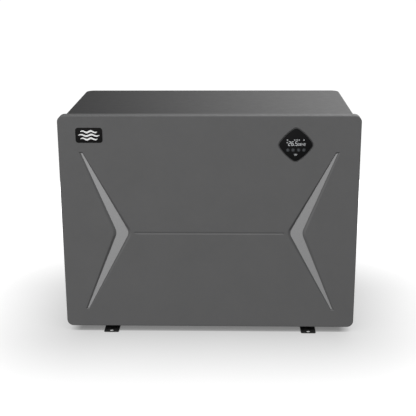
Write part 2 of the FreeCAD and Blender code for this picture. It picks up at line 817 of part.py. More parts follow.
def make_guards():
    """The wire guards over the finned coil, at the back and at the left."""
    rear = wall_grid((-CORNER_X, WALL_REAR_IN, TRAY_TOP), (REAR_SPLIT, WALL_REAR, WALL_TOP),
                     15, 15, "x")
    keep("rear_guard", cut(rear, *screw_holes(seats(REAR_SPOTS), "y", 8)))
    left = wall_grid((-WALL_X, BAFFLE_BACK, TRAY_TOP), (-WALL_IN, CORNER_Y, WALL_TOP), 15, 15, "y")
    keep("left_guard", cut(left, *screw_holes(seats(SIDE_SPOTS), "x", 8),
                           *screw_holes(seats(COVER_SPOTS), "x", 8)))


def folded_panel(low, high, hollow_low, hollow_high, holes):
    """A sheet with its four edges folded inwards, drilled by the given tools."""
    return cut(box(low, high), box(hollow_low, hollow_high), *holes)


def make_wall_panels():
    """The plain sheets round the compressor compartment."""
    sheet, fold = s.sheet, 14
    holes = screw_holes(seats(SIDE_SPOTS), "x", 8) + screw_holes(seats(COVER_SPOTS), "x", 8)
    holes += [rod(s.union_radius - 2, (WALL_IN - 5, s.exchanger_y, z), 20, "x")
              for z in HEIGHTS.values()]
    holes.append(rod(s.gauge_radius + 0.2, (WALL_IN - 5, s.gauge_y, s.gauge_z), 20, "x"))
    holes += [rod(8.2, (WALL_IN - 5, s.gland_y, z), 20, "x") for z in GLAND_HEIGHTS]
    holes.append(box((WALL_IN - 5, HATCH_LOW[0] + 28, HATCH_LOW[1] + 30),
                     (WALL_X + 5, HATCH_HIGH[0] - 28, HATCH_HIGH[1] - 30)))
    holes += [rod(SCREW_HOLE, moved(at, "x", -10), 12, "x") for at in seats(HATCH_SPOTS)]
    low, high = (WALL_IN, BAFFLE_BACK, TRAY_TOP), (WALL_X, CORNER_Y, WALL_TOP)
    side = folded_panel(low, high, (WALL_IN - 1, low[1] + fold, low[2] + fold),
                        (WALL_X - sheet, high[1] - fold, high[2] - fold), holes)
    keep("right_side_panel", side)

    low, high = (REAR_SPLIT, WALL_REAR_IN, TRAY_TOP), (CORNER_X, WALL_REAR, WALL_TOP)
    vents = [box((REAR_SPLIT + 70, WALL_REAR - 8, z), (CORNER_X - 70, WALL_REAR + 4, z + 4))
             for z in range(540, 620, 12)]
    rear = folded_panel(low, high, (low[0] + fold, WALL_REAR_IN - 1, low[2] + fold),
                        (high[0] - fold, WALL_REAR - sheet, high[2] - fold),
                        vents + screw_holes(seats(REAR_SPOTS), "y", 8))
    keep("rear_panel", rear)


def make_corner_posts():
    """Rounded posts at the two rear corners, with flanges behind the wall pieces."""
    thick, flange = s.wall + s.sheet, 14
    for word, side in SIDES.items():
        ring = tube(WALL_CORNER, WALL_CORNER - thick, (CORNER_X * side, CORNER_Y, TRAY_TOP),
                    WALL_TOP - TRAY_TOP)
        near, far = sorted((CORNER_X * side, (WALL_X + 1) * side), key=float)
        quarter = common(ring, box((near, CORNER_Y, TRAY_TOP), (far, WALL_REAR + 1, WALL_TOP)))
        behind_rear = sorted(((CORNER_X + 1) * side, (CORNER_X - flange) * side), key=float)
        behind_side = sorted((WALL_IN * side, (WALL_IN - s.sheet) * side), key=float)
        flanges = [
            box((behind_rear[0], WALL_REAR_IN - s.sheet, TRAY_TOP),
                (behind_rear[1], WALL_REAR_IN, WALL_TOP)),
            box((behind_side[0], CORNER_Y - flange, TRAY_TOP),
                (behind_side[1], CORNER_Y + 1, WALL_TOP)),
        ]
        post = cut(fuse(quarter, *flanges), *screw_holes(seats(REAR_SPOTS), "y", 8),
                   *screw_holes(seats(SIDE_SPOTS), "x", 8))
        keep(f"corner_post_{word}", post)


def make_outlet_grilles():
    """The louvred frames at both sides, between the front frame and the fan baffle."""
    deep, edge, foot, head = 10, 9, 15, 31
    pitch, slat_length, slat_steel, slat_tilt = 11.5, 12, 1.6, 40
    low_z, high_z = TRAY_TOP, WALL_TOP
    for word, side in SIDES.items():
        near, far = sorted((WALL_X * side, (WALL_X - deep) * side), key=float)
        frame = cut(box((near, RIM_Y, low_z), (far, s.baffle_y, high_z)),
                    box((near - 1, RIM_Y + edge, low_z + foot),
                        (far + 1, s.baffle_y - edge, high_z - head)))
        slats = []
        height = float(high_z - low_z) - foot - head
        count = round(height / pitch)
        for i in range(1, count):
            slat = doc.addObject("Part::Box", "slat")
            bind(slat, "Length", slat_length)
            bind(slat, "Width", s.baffle_y - RIM_Y - edge * 2 + 2)
            bind(slat, "Height", slat_steel)
            slat.Placement = Placement(Vector(), Rotation(Vector(0, 1, 0), slat_tilt * side))
            start = (WALL_X - deep) if side > 0 else -(WALL_X - 0.8)
            lift = 4.5 if side > 0 else -3.2
            level = low_z + foot + height * i / count + lift
            place(slat, (start, RIM_Y + edge - 1, level))
            slats.append(slat)
        trimmed = common(fuse(*slats), box((near, RIM_Y, low_z), (far, s.baffle_y, high_z)))
        keep(f"outlet_grille_{word}",
             cut(fuse(frame, trimmed), *screw_holes(seats(COVER_SPOTS), "x", 8)))


def make_fan_baffle():
    """The bulkhead behind the plenum, and the fan's flared orifice ring on its back."""
    plate = box((-WALL_IN, s.baffle_y, TRAY_FLOOR), (WALL_IN, BAFFLE_BACK, WALL_TOP))
    inner = s.fan_radius + s.fan_gap
    keep("fan_baffle", cut(plate, rod(inner, (s.fan_x, s.baffle_y - 1, s.fan_z), 10, "y")))
    deep, flare, thick = s.orifice_depth - s.sheet, 8, 1.5
    outer = inner + s.orifice_flange
    outline = [(inner, 0), (outer, 0), (outer, thick), (inner + thick, thick),
               (inner + thick, deep - flare), (outer, deep - thick), (outer, deep),
               (outer - 3, deep), (inner, deep - flare - 1)]
    keep("orifice_ring", revolve("flared_ring", outline, (s.fan_x, BAFFLE_BACK, s.fan_z), "y"))


def make_partition():
    plate = box((s.partition_x, BAFFLE_BACK, TRAY_FLOOR),
                (s.partition_x + s.sheet, WALL_REAR_IN, WALL_TOP))
    holes = [rod(7, (s.partition_x - 5, y, z), 12, "x") for y, z in HEADER_PORTS.values()]
    keep("partition", cut(plate, *holes))


# ---------------------------------------------------------------- fan

FAN_MIDDLE_Y = s.baffle_y + 18
HUB_FRONT = FAN_MIDDLE_Y - 26
HUB_DEPTH = 50
MOTOR_FRONT = HUB_FRONT + HUB_DEPTH + 8
MOTOR_DEPTH = 78
MOTOR_BACK = MOTOR_FRONT + MOTOR_DEPTH
MOTOR_SCREWS = [((s.fan_x + 30 * a, MOTOR_BACK + 3, s.fan_z + 30 * b), 1)
                for a in (-1, 1) for b in (-1, 1)]


def blade_section(radius, chord, pitch, sweep):
    """A cambered section of a blade, square to the radius, as a closed wire."""
    turn, lean = math.radians(sweep), math.radians(pitch)
    outwards = Vector(math.cos(turn), 0, math.sin(turn))
    around = Vector(-math.sin(turn), 0, math.cos(turn))
    backwards = Vector(0, 1, 0)
    along = around * math.cos(lean) + backwards * math.sin(lean)
    upright = backwards * math.cos(lean) - around * math.sin(lean)
    centre = Vector(float(s.fan_x), float(FAN_MIDDLE_Y), float(s.fan_z)) + outwards * radius
    nose, tail = centre - along * (chord / 2), centre + along * (chord / 2)
    upper = Part.Arc(nose, centre + upright * (chord * 0.07 + 1.6), tail)
    lower = Part.Arc(tail, centre + upright * (chord * 0.07 - 1.6), nose)
    return Part.Wire([upper.toShape(), lower.toShape()])


def make_fan():
    """A five-bladed axial fan on its shaft, held by a nut."""
    shaft = s.shaft_radius
    outline = [(shaft, 0), (46, 0), (54, 8), (54, HUB_DEPTH), (50.5, HUB_DEPTH), (50.5, 9),
               (14, 5), (14, HUB_DEPTH - 6), (shaft, HUB_DEPTH - 6)]
    hub = revolve("fan_hub", outline, (s.fan_x, HUB_FRONT, s.fan_z), "y")
    blades = []
    count = 5
    for i in range(count):
        start = 360 * i / count
        sections = [blade_section(51.5, 62, 38, start), blade_section(140, 104, 27, start + 5),
                    blade_section(246, 142, 20, start + 14)]
        blades.append(feature(Part.makeLoft(sections, True, False), "blade"))
    sweep = tube(s.fan_radius, 51, (s.fan_x, HUB_FRONT - 20, s.fan_z), 100, "y")
    keep("fan_rotor", fuse(hub, common(fuse(*blades), sweep)))
    keep("fan_shaft", rod(shaft, (s.fan_x, HUB_FRONT - 10, s.fan_z),
                          MOTOR_FRONT + 70 - HUB_FRONT + 10, "y"))
    nut = hexagon(19, (s.fan_x, HUB_FRONT - 8, s.fan_z), 8, "y")
    keep("fan_nut", cut(nut, rod(shaft, (s.fan_x, HUB_FRONT - 9, s.fan_z), 10, "y")))


def make_fan_motor():
    """The motor, its upright bracket and the screws between them."""
    bore = s.shaft_radius + s.turning_gap
    outline = [(bore, 0), (16, 0), (16, 6), (46, 6), (52, 12), (52, 72), (46, MOTOR_DEPTH),
               (0, MOTOR_DEPTH), (0, 71), (bore, 71)]
    case = revolve("motor_case", outline, (s.fan_x, MOTOR_FRONT, s.fan_z), "y")
    taps = [rod(SCREW_HOLE, moved(at, "y", -16), 14, "y") for at in seats(MOTOR_SCREWS)]
    keep("fan_motor", cut(case, *taps))
    uprights = [box((s.fan_x + 34 * side - 10, MOTOR_BACK, TRAY_FLOOR),
                    (s.fan_x + 34 * side + 10, MOTOR_BACK + 3, WALL_TOP)) for side in (-1, 1)]
    plate = box((s.fan_x - 46, MOTOR_BACK, s.fan_z - 46), (s.fan_x + 46, MOTOR_BACK + 3, s.fan_z + 46))
    ties = [box((s.fan_x - 44, MOTOR_BACK, z), (s.fan_x + 44, MOTOR_BACK + 3, z + 16))
            for z in (120, 560)]
    keep("motor_bracket", cut(fuse(*uprights, plate, *ties), *screw_holes(seats(MOTOR_SCREWS), "y", 5)))
    screw_group("motor_screws", MOTOR_SCREWS, "y", 14)


# ---------------------------------------------------------------- evaporator

COIL_X = 7 - WALL_IN
COIL_Y = WALL_REAR_IN - 7
COIL_BEND = s.coil_thick + 16
TUBE_WEB = 1.6
FIN = 1
HEADER_X = s.coil_end_x + 12
HEADER_Y = COIL_Y - s.coil_thick * 0.75
HEADER_PORTS = {"gas": (HEADER_Y, 455), "liquid": (HEADER_Y, 150)}


def make_evaporator():
    """The finned coil round the rear left corner, with its end plates, bends and headers.

    The fins stand at a coarse spacing on a web that holds the tubes' place.
    """
    thick = s.coil_thick
    corner_x, corner_y = COIL_X + COIL_BEND, COIL_Y - COIL_BEND
    low, high = TRAY_FLOOR, s.coil_top
    inner, web = thick / 2 - TUBE_WEB / 2, TUBE_WEB
    rear_web = box((corner_x, COIL_Y - inner - web, low), (s.coil_end_x, COIL_Y - inner, high))
    left_web = box((COIL_X + inner, s.coil_end_y, low), (COIL_X + inner + web, corner_y, high))
    ring = tube(COIL_BEND - inner, COIL_BEND - inner - web, (corner_x, corner_y, low), high - low)
    corner_web = common(ring, box((COIL_X - 1, corner_y, 0), (corner_x, COIL_Y + 1, high + 1)))
    fins = []
    half = FIN / 2
    spacing = 14
    for x in range(round(float(corner_x)), round(float(s.coil_end_x)), spacing):
        fins.append(box((x - half, COIL_Y - thick, low), (x + half, COIL_Y, high)))
    for y in range(round(float(s.coil_end_y)) + 2, round(float(corner_y)) + 1, spacing):
        fins.append(box((COIL_X, y - half, low), (COIL_X + thick, y + half, high)))
    for degrees in (15, 30, 45, 60, 75):
        fin = doc.addObject("Part::Box", "corner_fin")
        bind(fin, "Length", thick)
        fin.Width = FIN
        bind(fin, "Height", high - low)
        angle = math.radians(90 + degrees)
        start = COIL_BEND - thick
        fin.Placement = Placement(Vector(), Rotation(Vector(0, 0, 1), 90 + degrees))
        place(fin, (corner_x + start * math.cos(angle) + half * math.sin(angle),
                    corner_y + start * math.sin(angle) - half * math.cos(angle), low))
        fins.append(fin)
    keep("coil_fins", fuse(rear_web, corner_web, left_web, *fins))

    end = s.coil_end_x + s.sheet
    plates = [box((s.coil_end_x, COIL_Y - thick - 2, TRAY_FLOOR), (end, COIL_Y + 2, s.coil_top)),
              box((COIL_X - 2, s.coil_end_y - s.sheet, TRAY_FLOOR),
                  (COIL_X + thick + 2, s.coil_end_y, s.coil_top))]
    keep("coil_end_plates", group(*plates))

    bends = []
    for level in range(50, 620, 50):
        bend = doc.addObject("Part::Torus", "bend")
        bend.Radius1 = 12.5
        bend.Radius2 = 4
        whole = place(bend, (end, COIL_Y - thick / 4, level), Rotation(Vector(1, 0, 0), 90))
        outer_half = box((end, COIL_Y - thick, level - 20), (end + 20, COIL_Y, level + 20))
        bends.append(common(whole, outer_half))
    keep("coil_bends", group(*bends))

    headers = []
    for low, high in ((330, 620), (30, 300)):
        trunk = rod(6, (HEADER_X, HEADER_Y, low), high - low)
        stubs = [rod(3.5, (end, HEADER_Y, z), HEADER_X - end, "x") for z in range(low + 20, high, 50)]
        headers.append(fuse(trunk, *stubs))
    keep("coil_headers", group(*headers))


# ---------------------------------------------------------------- compressor and pipes

COMPRESSOR_FOOT = 37
FOOT_STEEL = 3
VALVE_Y = 28
VALVE_Z = 420
ACCUMULATOR_X = s.compressor_x - 90
ACCUMULATOR_Y = s.compressor_y + 5
METERING_X = s.partition_x + 37
METERING_Y = 60


def compressor_feet():
    return [(s.compressor_x + 48 * a, s.compressor_y + 48 * b) for a in (-1, 1) for b in (-1, 1)]


def make_compressor():
    """The compressor on four rubber feet, with its suction accumulator and terminal cover."""
    x, y, radius = s.compressor_x, s.compressor_y, s.compressor_radius
    foot, can_base = COMPRESSOR_FOOT, COMPRESSOR_FOOT + FOOT_STEEL
    outline = [(0, can_base), (radius - 6, can_base), (radius, can_base + 8),
               (radius, 270), (radius - 10, 288), (20, 297), (0, 300)]
    shell = revolve("compressor_can", outline, (x, y, 0))
    plate = box((x - radius, y - radius, foot), (x + radius, y + radius, can_base))
    port = rod(8, (x, y, 290), 18)
    holes = [rod(4.2, (*at, foot - 1), 5) for at in compressor_feet()]
    room = rod(40, (x, y, 60), 200)
    keep("compressor", cut(fuse(shell, plate, port), room, *holes))
    keep("compressor_grommets", group(*[
        tube(11, 4, (*at, TRAY_FLOOR), foot - TRAY_FLOOR) for at in compressor_feet()]))
    keep("compressor_bolts", group(*[
        fuse(rod(3.8, (*at, TRAY_FLOOR), 34), hexagon(13, (*at, can_base), 7))
        for at in compressor_feet()]))

    bottle_outline = [(0, 70), (16, 70), (25, 80), (25, 205), (14, 218), (0, 218)]
    bottle = revolve("accumulator_bottle", bottle_outline, (ACCUMULATOR_X, ACCUMULATOR_Y, 0))
    neck = rod(9, (ACCUMULATOR_X, ACCUMULATOR_Y, 210), 18)
    link = rod(9, (ACCUMULATOR_X, ACCUMULATOR_Y, 100), 45, "x")
    clear = rod(radius, (x, y, 40), 240)
    keep("accumulator", cut(fuse(bottle, neck, link), clear))
    cover = box((x + 50, y - 20, 190), (x + radius + 18, y + 20, 240))
    keep("terminal_cover", cut(cover, rod(radius, (x, y, 40), 240)))


def make_refrigerant_parts():
    """The reversing valve, the metering valve and the copper pipes between them."""
    ports = {"coil": s.exchanger_x - 20, "suction": s.exchanger_x, "exchanger": s.exchanger_x + 20}
    body = rod(13, (s.exchanger_x - 40, VALVE_Y, VALVE_Z), 80, "x")
    stubs = [rod(8.5, (x, VALVE_Y, VALVE_Z), 17) for x in ports.values()]
    stubs.append(rod(8.5, (s.exchanger_x, VALVE_Y, VALVE_Z - 17), 17))
    pilot = box((s.exchanger_x - 14, VALVE_Y - 34, VALVE_Z - 12),
                (s.exchanger_x + 14, VALVE_Y - 8, VALVE_Z + 12))
    keep("four_way_valve", fuse(body, *stubs, pilot))

    x, y = METERING_X, METERING_Y
    keep("expansion_valve", fuse(rod(9, (x, y, 300), 80), rod(17, (x, y, 335), 34)))

    low, high = VALVE_Z - 17, VALVE_Z + 17
    over = 455
    feed_x = s.partition_x + 11
    header_side = HEADER_X + 5
    routes = [
        (5, [(s.compressor_x, s.compressor_y, 308), (s.compressor_x, s.compressor_y, 350),
             (ports["suction"], VALVE_Y, 350), (ports["suction"], VALVE_Y, low)]),
        (7, [(ports["suction"], VALVE_Y, high), (ports["suction"], VALVE_Y, 478),
             (ACCUMULATOR_X, ACCUMULATOR_Y, 478), (ACCUMULATOR_X, ACCUMULATOR_Y, 228)]),
        (5, [(header_side, HEADER_Y, over), (feed_x, HEADER_Y, over), (feed_x, VALVE_Y, over),
             (ports["coil"], VALVE_Y, over), (ports["coil"], VALVE_Y, high)]),
        (5, [(ports["exchanger"], VALVE_Y, high), (ports["exchanger"], VALVE_Y, 460),
             (ports["exchanger"], s.exchanger_y - 20, 460),
             (ports["exchanger"], s.exchanger_y - 20, s.exchanger_top)]),
        (4, [(s.exchanger_x - 20, s.exchanger_y + 20, s.exchanger_top),
             (s.exchanger_x - 20, s.exchanger_y + 20, 452), (s.exchanger_x - 20, y, 452),
             (x, y, 452), (x, y, 380)]),
        (4, [(x, y, 300), (x, y, 150), (feed_x, y, 150), (feed_x, HEADER_Y, 150),
             (header_side, HEADER_Y, 150)]),
    ]
    pipes = []
    for radius, points in routes:
        pipes.append(bent_pipe(radius, points, 10))
    header_clear = [rod(6, (HEADER_X, HEADER_Y, 0), 700)]
    keep("copper_pipes", group(pipes[0], pipes[1], cut(pipes[2], *header_clear), pipes[3], pipes[4],
                               cut(pipes[5], *header_clear)))


# ---------------------------------------------------------------- water side

STUB_RADIUS = s.water_bore + 7
THREAD_START = WALL_X + 2.3
THREAD_END = WALL_X + 17
GASKET = 2
TAIL_START = THREAD_END + GASKET
FLANGE = 4.5
TAIL_END = TAIL_START + 14 + s.socket_length
NUT_START = WALL_X + 4
SWITCH_X = s.exchanger_x + 95
PADDLE_Z = s.inlet_z + 13
PIN_RADIUS = 1.5


def make_exchanger():
    """The water shell with its two threaded stubs, and the titanium coil sealed in it."""
    x, y, radius = s.exchanger_x, s.exchanger_y, s.exchanger_radius
    base, skin = 40, 5
    shell = rod(radius, (x, y, base), s.exchanger_top - base)
    foot = tube(44, 36, (x, y, TRAY_FLOOR), base - TRAY_FLOOR)
    cavity = rod(radius - skin, (x, y, base + skin), s.exchanger_top - base - 2 * skin)
    stubs, bores = [], [cavity]
    for z in HEIGHTS.values():
        stubs.append(rod(STUB_RADIUS, (x, y, z), THREAD_END - x, "x"))
        stubs.append(rod(s.union_radius, (THREAD_START, y, z), THREAD_END - THREAD_START, "x"))
        bores.append(rod(s.water_bore, (x, y, z), THREAD_END - x + 1, "x"))
    bores.append(rod(8, (SWITCH_X, y, s.inlet_z + 10), 30))
    keep("exchanger_shell", cut(fuse(shell, foot, *stubs), *bores))

    spiral = Part.makeHelix(22, 22 * 14, 44)
    ring = Part.Wire(Part.makeCircle(7, Vector(44, 0, 0), Vector(0, 1, 0)))
    coil = feature(Part.Wire(spiral.Edges).makePipeShell([ring], True, True))
    keep("titanium_coil", place(coil, (x, y, 75)))


def make_unions():
    """At each water port a gasket, a flanged tail with a pipe socket and a ribbed nut."""
    y = s.exchanger_y
    gaskets, tails = [], []
    for word, z in HEIGHTS.items():
        gaskets.append(tube(30, s.water_bore, (THREAD_END, y, z), GASKET, "x"))
        flange = rod(s.union_radius, (TAIL_START, y, z), FLANGE, "x")
        barrel = rod(s.socket_radius + 4.5, (TAIL_START, y, z), TAIL_END - TAIL_START, "x")
        waterway = rod(s.water_bore, (TAIL_START - 1, y, z), 40, "x")
        socket = rod(s.socket_radius, (TAIL_END - s.socket_length, y, z), s.socket_length + 1, "x")
        tails.append(cut(fuse(flange, barrel), waterway, socket))
        inner = s.union_radius + s.thread_gap
        neck = s.socket_radius + 4.5 + s.thread_gap
        outer = s.nut_radius - 2
        shoulder = TAIL_START + FLANGE + s.thread_gap - NUT_START
        outline = [(inner, 0), (outer - 1, 0), (outer, 2), (outer, shoulder), (outer - 2, shoulder + 6),
                   (neck, shoulder + 6), (neck, shoulder), (inner, shoulder)]
        ring = revolve(f"{word}_nut_ring", outline, (NUT_START, y, z), "x")
        ribs = []
        for i in range(12):
            angle = math.radians(30 * i)
            across, up = math.cos(angle), math.sin(angle)
            ribs.append(rod(3, (NUT_START + 1, y + (s.nut_radius - 3.4) * across,
                                z + (s.nut_radius - 3.4) * up), shoulder - 1, "x"))
        clear = rod(inner, (NUT_START - 1, y, z), shoulder + 1, "x")
        keep(f"{word}_union_nut", cut(fuse(ring, *ribs), clear))
    keep("union_gaskets", group(*gaskets))
    keep("union_tails", group(*tails))


def make_flow_switch():
    """A switch on the inlet, whose stem holds a paddle that swings in the water."""
    x, y, z = SWITCH_X, s.exchanger_y, PADDLE_Z
    case = box((x - 20, y - 16, s.inlet_z + 33), (x + 20, y + 16, s.inlet_z + 78))
    collar = hexagon(24, (x, y, s.inlet_z + 28.4), 5)
    stem = rod(8, (x, y, z - 4.5), s.inlet_z + 35 - z + 4.5)
    slot = box((x - 10, y - 4.8, z - 6), (x + 10, y + 4.8, z + 4.5))
    seat = rod(PIN_RADIUS + s.turning_gap, (x, y - 10, z), 20, "y")
    keep("flow_switch", cut(fuse(case, collar, stem), slot, seat))
    axle = rod(PIN_RADIUS, (x, y - 6.6, z), 13.2, "y")
    neck = box((x - 0.6, y - 4.2, z - 14), (x + 0.6, y + 4.2, z + 1))
    blade = box((x - 0.6, y - 9, z - 31), (x + 0.6, y + 9, z - 8))
    keep("flow_paddle", fuse(axle, neck, blade))


# ---------------------------------------------------------------- gauge, glands and electrics

GLAND_HEIGHTS = (200, 245)
GAUGE_BACK = WALL_X - 24


def make_gauge():
    """A pressure gauge in the side panel: case with its dial face, needle and lens."""
    at = (GAUGE_BACK, s.gauge_y, s.gauge_z)
    radius = s.gauge_radius
    inner = radius - 1.8
    seat = PIN_RADIUS + s.turning_gap
    outline = [(seat, 4), (seat, 12), (inner, 12), (inner, 27),
               (radius + 4, 27), (radius + 4, 24), (radius, 24), (radius, 0), (0, 0), (0, 4)]
    keep("gauge_case", revolve("gauge_cup", outline, at, "x"))
    arbor = rod(PIN_RADIUS, moved(at, "x", 5), 12, "x")
    hub = rod(4, moved(at, "x", 14), 3, "x")
    pointer = doc.addObject("Part::Wedge", "pointer")
    for prop, value in (("Xmin", -1.6), ("Xmax", 1.6), ("Ymin", 0), ("Ymax", 21), ("Zmin", 0),
                        ("Zmax", 1), ("X2min", -0.5), ("X2max", 0.5), ("Z2min", 0), ("Z2max", 1)):
        setattr(pointer, prop, value)
    pointer.Placement = Placement(Vector(), rest_turn())
    for letter, value in zip("xyz", moved(at, "x", 15)):
        bind(pointer, f"Placement.Base.{letter}", value)
    keep("gauge_needle", fuse(arbor, hub, pointer))
    keep("gauge_lens", rod(inner, moved(at, "x", 24.5), 1.8, "x"))


def rest_turn():
    """Turns the pointer to lie flat on the dial, 45 degrees to the left of upright."""
    flat = Rotation(Vector(0, 1, 0), Vector(0, 0, 1), Vector(1, 0, 0), "XYZ")
    return Rotation(Vector(1, 0, 0), 45) * flat


def make_glands():
    """Two cable glands: a thread through the panel, a nut inside and a cap outside."""
    made = []
    for z in GLAND_HEIGHTS:
        at = (WALL_X, s.gland_y, z)
        parts = [rod(8, moved(at, "x", -12), 14, "x"), hexagon(22, at, 6, "x"),
                 cone(10, 8, moved(at, "x", 6), 14, "x"),
                 hexagon(22, moved(at, "x", -s.sheet - 5), 5, "x")]
        made.append(cut(fuse(*parts), rod(5.5, moved(at, "x", -13), 40, "x")))
    keep("cable_glands", group(*made))


def make_electrics():
    """The terminal hatch, and behind it the open-sided control box and its board."""
    plate = box((WALL_X, *HATCH_LOW), (WALL_X + 2, *HATCH_HIGH))
    dish = box((WALL_X + 1, HATCH_LOW[0] + 18, HATCH_LOW[1] + 18),
               (WALL_X + 5, HATCH_HIGH[0] - 18, HATCH_HIGH[1] - 18))
    holes = [rod(SCREW_HOLE, moved(at, "x", -5), 8, "x") for at in seats(HATCH_SPOTS)]
    keep("terminal_hatch", cut(fuse(plate, dish), *holes))

    sheet = s.sheet
    low = (s.partition_x + sheet, -92, 500)
    high = (WALL_IN - 6, 150, 650)
    case = box(low, high)
    room = box((low[0] + sheet, low[1] + sheet, low[2] + sheet),
               (high[0] + 1, high[1] - sheet, high[2] - sheet))
    keep("control_box", cut(case, room))

    back = low[0] + sheet
    board = box((back + 10, -80, 512), (back + 11.6, 136, 636))
    posts = [box((back, y, z), (back + 10, y + 8, z + 8)) for y in (-76, 124) for z in (516, 624)]
    cans = [rod(15, (back + 11.6, y, 600), 42, "x") for y in (-50, -14, 22)]
    sink = box((back + 11.6, 60, 530), (back + 36, 130, 620))
    terminals = box((back + 11.6, -70, 518), (back + 30, 40, 540))
    relays = [box((back + 11.6, y, 552), (back + 28, y + 18, 574)) for y in (-66, -36, -6)]
    keep("control_board", fuse(board, *posts, *cans, sink, terminals, *relays))


def make_cabinet_screws():
    screws = [screw(at, "x", sign, 5) for at, sign in COVER_SPOTS + SIDE_SPOTS]
    screws += [screw(at, "y", sign, 5) for at, sign in REAR_SPOTS]
    screws += [screw(at, "y", sign, 18) for at, sign in RIM_SPOTS]
    screws += [screw(at, "x", sign, 5) for at, sign in HATCH_SPOTS]
    keep("cabinet_screws", group(*screws))


# ---------------------------------------------------------------- build, check and write


def build():
    make_front_panel()
    make_chevrons()
    make_badge()
    make_display()
    make_front_frame()
    make_top_cover()
    make_base_tray()
    make_foot_rails()
    make_drain_spout()
    make_guards()
    make_wall_panels()
    make_corner_posts()
    make_outlet_grilles()
    make_fan_baffle()
    make_partition()
    make_fan()
    make_fan_motor()
    make_evaporator()
    make_compressor()
    make_refrigerant_parts()
    make_exchanger()
    make_unions()
    make_flow_switch()
    make_gauge()
    make_glands()
    make_electrics()
    make_cabinet_screws()


def check():
    """Stop on any failed object, or a sub-part that is empty or not valid."""
    doc.recompute()
    for thing in doc.Objects:
        if "Invalid" in thing.State or "Error" in thing.State:
            raise RuntimeError(f"{thing.Name} ({thing.Label}) failed: {thing.State}")
    for label, thing in pieces.items():
        if thing.Shape.isNull() or not thing.Shape.isValid() or not thing.Shape.Solids:
            raise RuntimeError(f"{label} has no valid solid")


def write():
    os.makedirs(OUTPUT_FOLDER, exist_ok=True)
    for label, thing in pieces.items():
        thing.Shape.exportStep(os.path.join(OUTPUT_FOLDER, label + ".step"))
        solids = thing.Shape.Solids
        volume = sum(solid.Volume for solid in solids) / 1000
        print(f"{label}: {len(solids)} solid(s), {volume:.1f} cm3")
    print(len(pieces), "nodes")


build()
check()
write()
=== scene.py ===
import json
import math

import bmesh
import bpy
from mathutils import Matrix, Vector
from mathutils.geometry import delaunay_2d_cdt


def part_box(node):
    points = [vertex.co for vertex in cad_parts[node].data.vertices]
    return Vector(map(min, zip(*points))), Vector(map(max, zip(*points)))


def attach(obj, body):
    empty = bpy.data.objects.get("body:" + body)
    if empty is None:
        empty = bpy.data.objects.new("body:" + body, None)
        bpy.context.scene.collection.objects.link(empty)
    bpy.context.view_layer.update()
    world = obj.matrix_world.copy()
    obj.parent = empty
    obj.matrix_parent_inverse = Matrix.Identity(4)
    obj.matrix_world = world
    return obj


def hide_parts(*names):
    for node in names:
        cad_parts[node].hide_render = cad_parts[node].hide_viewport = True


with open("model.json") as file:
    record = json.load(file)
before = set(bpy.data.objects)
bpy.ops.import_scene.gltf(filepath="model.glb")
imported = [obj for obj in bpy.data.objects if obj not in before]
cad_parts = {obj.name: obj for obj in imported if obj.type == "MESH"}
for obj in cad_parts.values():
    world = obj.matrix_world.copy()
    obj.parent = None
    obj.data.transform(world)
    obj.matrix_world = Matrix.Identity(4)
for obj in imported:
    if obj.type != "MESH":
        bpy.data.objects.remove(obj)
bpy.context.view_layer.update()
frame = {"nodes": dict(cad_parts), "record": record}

# The looks of the pool heat pump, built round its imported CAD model. Lengths are in metres.
# +X is to the right seen from the front, +Y to the back, +Z up.

MM = 0.001
CABINET = "cabinet"

# Places read from the frame.
PANEL_LOW, PANEL_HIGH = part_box("front_panel")
FACE_Y = PANEL_LOW.y
RIM_Y = PANEL_HIGH.y
TRIM_LOW, TRIM_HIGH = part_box("chevron_trim_right")
ELBOW_Z = (TRIM_LOW.z + TRIM_HIGH.z) / 2
GLASS_LOW, GLASS_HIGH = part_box("display_glass")
BEZEL_LOW, BEZEL_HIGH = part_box("display_bezel")
BADGE_LOW, BADGE_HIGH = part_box("badge_plate")
COIL_LOW, COIL_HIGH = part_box("coil_fins")

# The front panel's shape.
PANEL_CORNER = 19 * MM
PANEL_EDGE = 2.5 * MM
PANEL_RIM = 3 * MM
PANEL_FACE = 4 * MM
RIM_EDGE = 0.8 * MM
RECESS_BEVEL = 7 * MM
ELBOW_WIDTH = 38 * MM
BLUNT_TIP = 5.5 * MM
SOFT_TIP = 1.5 * MM
SOFT_ELBOW = 14 * MM
ELBOW_SHARE, TIP_SHARE = 1.1, 0.8
CREASE_HALF = 5.0 * MM
CREASE_DEPTH = 1.9 * MM
CREASE_DROP = 1.2 * MM
CREASE_TAPER = 10 * MM

# The display's outline, as shares of the distance from its centre to a corner.
TIP_ROUND = 12 / 49
SIDE_BULGE = 41 / 49


# ---------------------------------------------------------------- materials


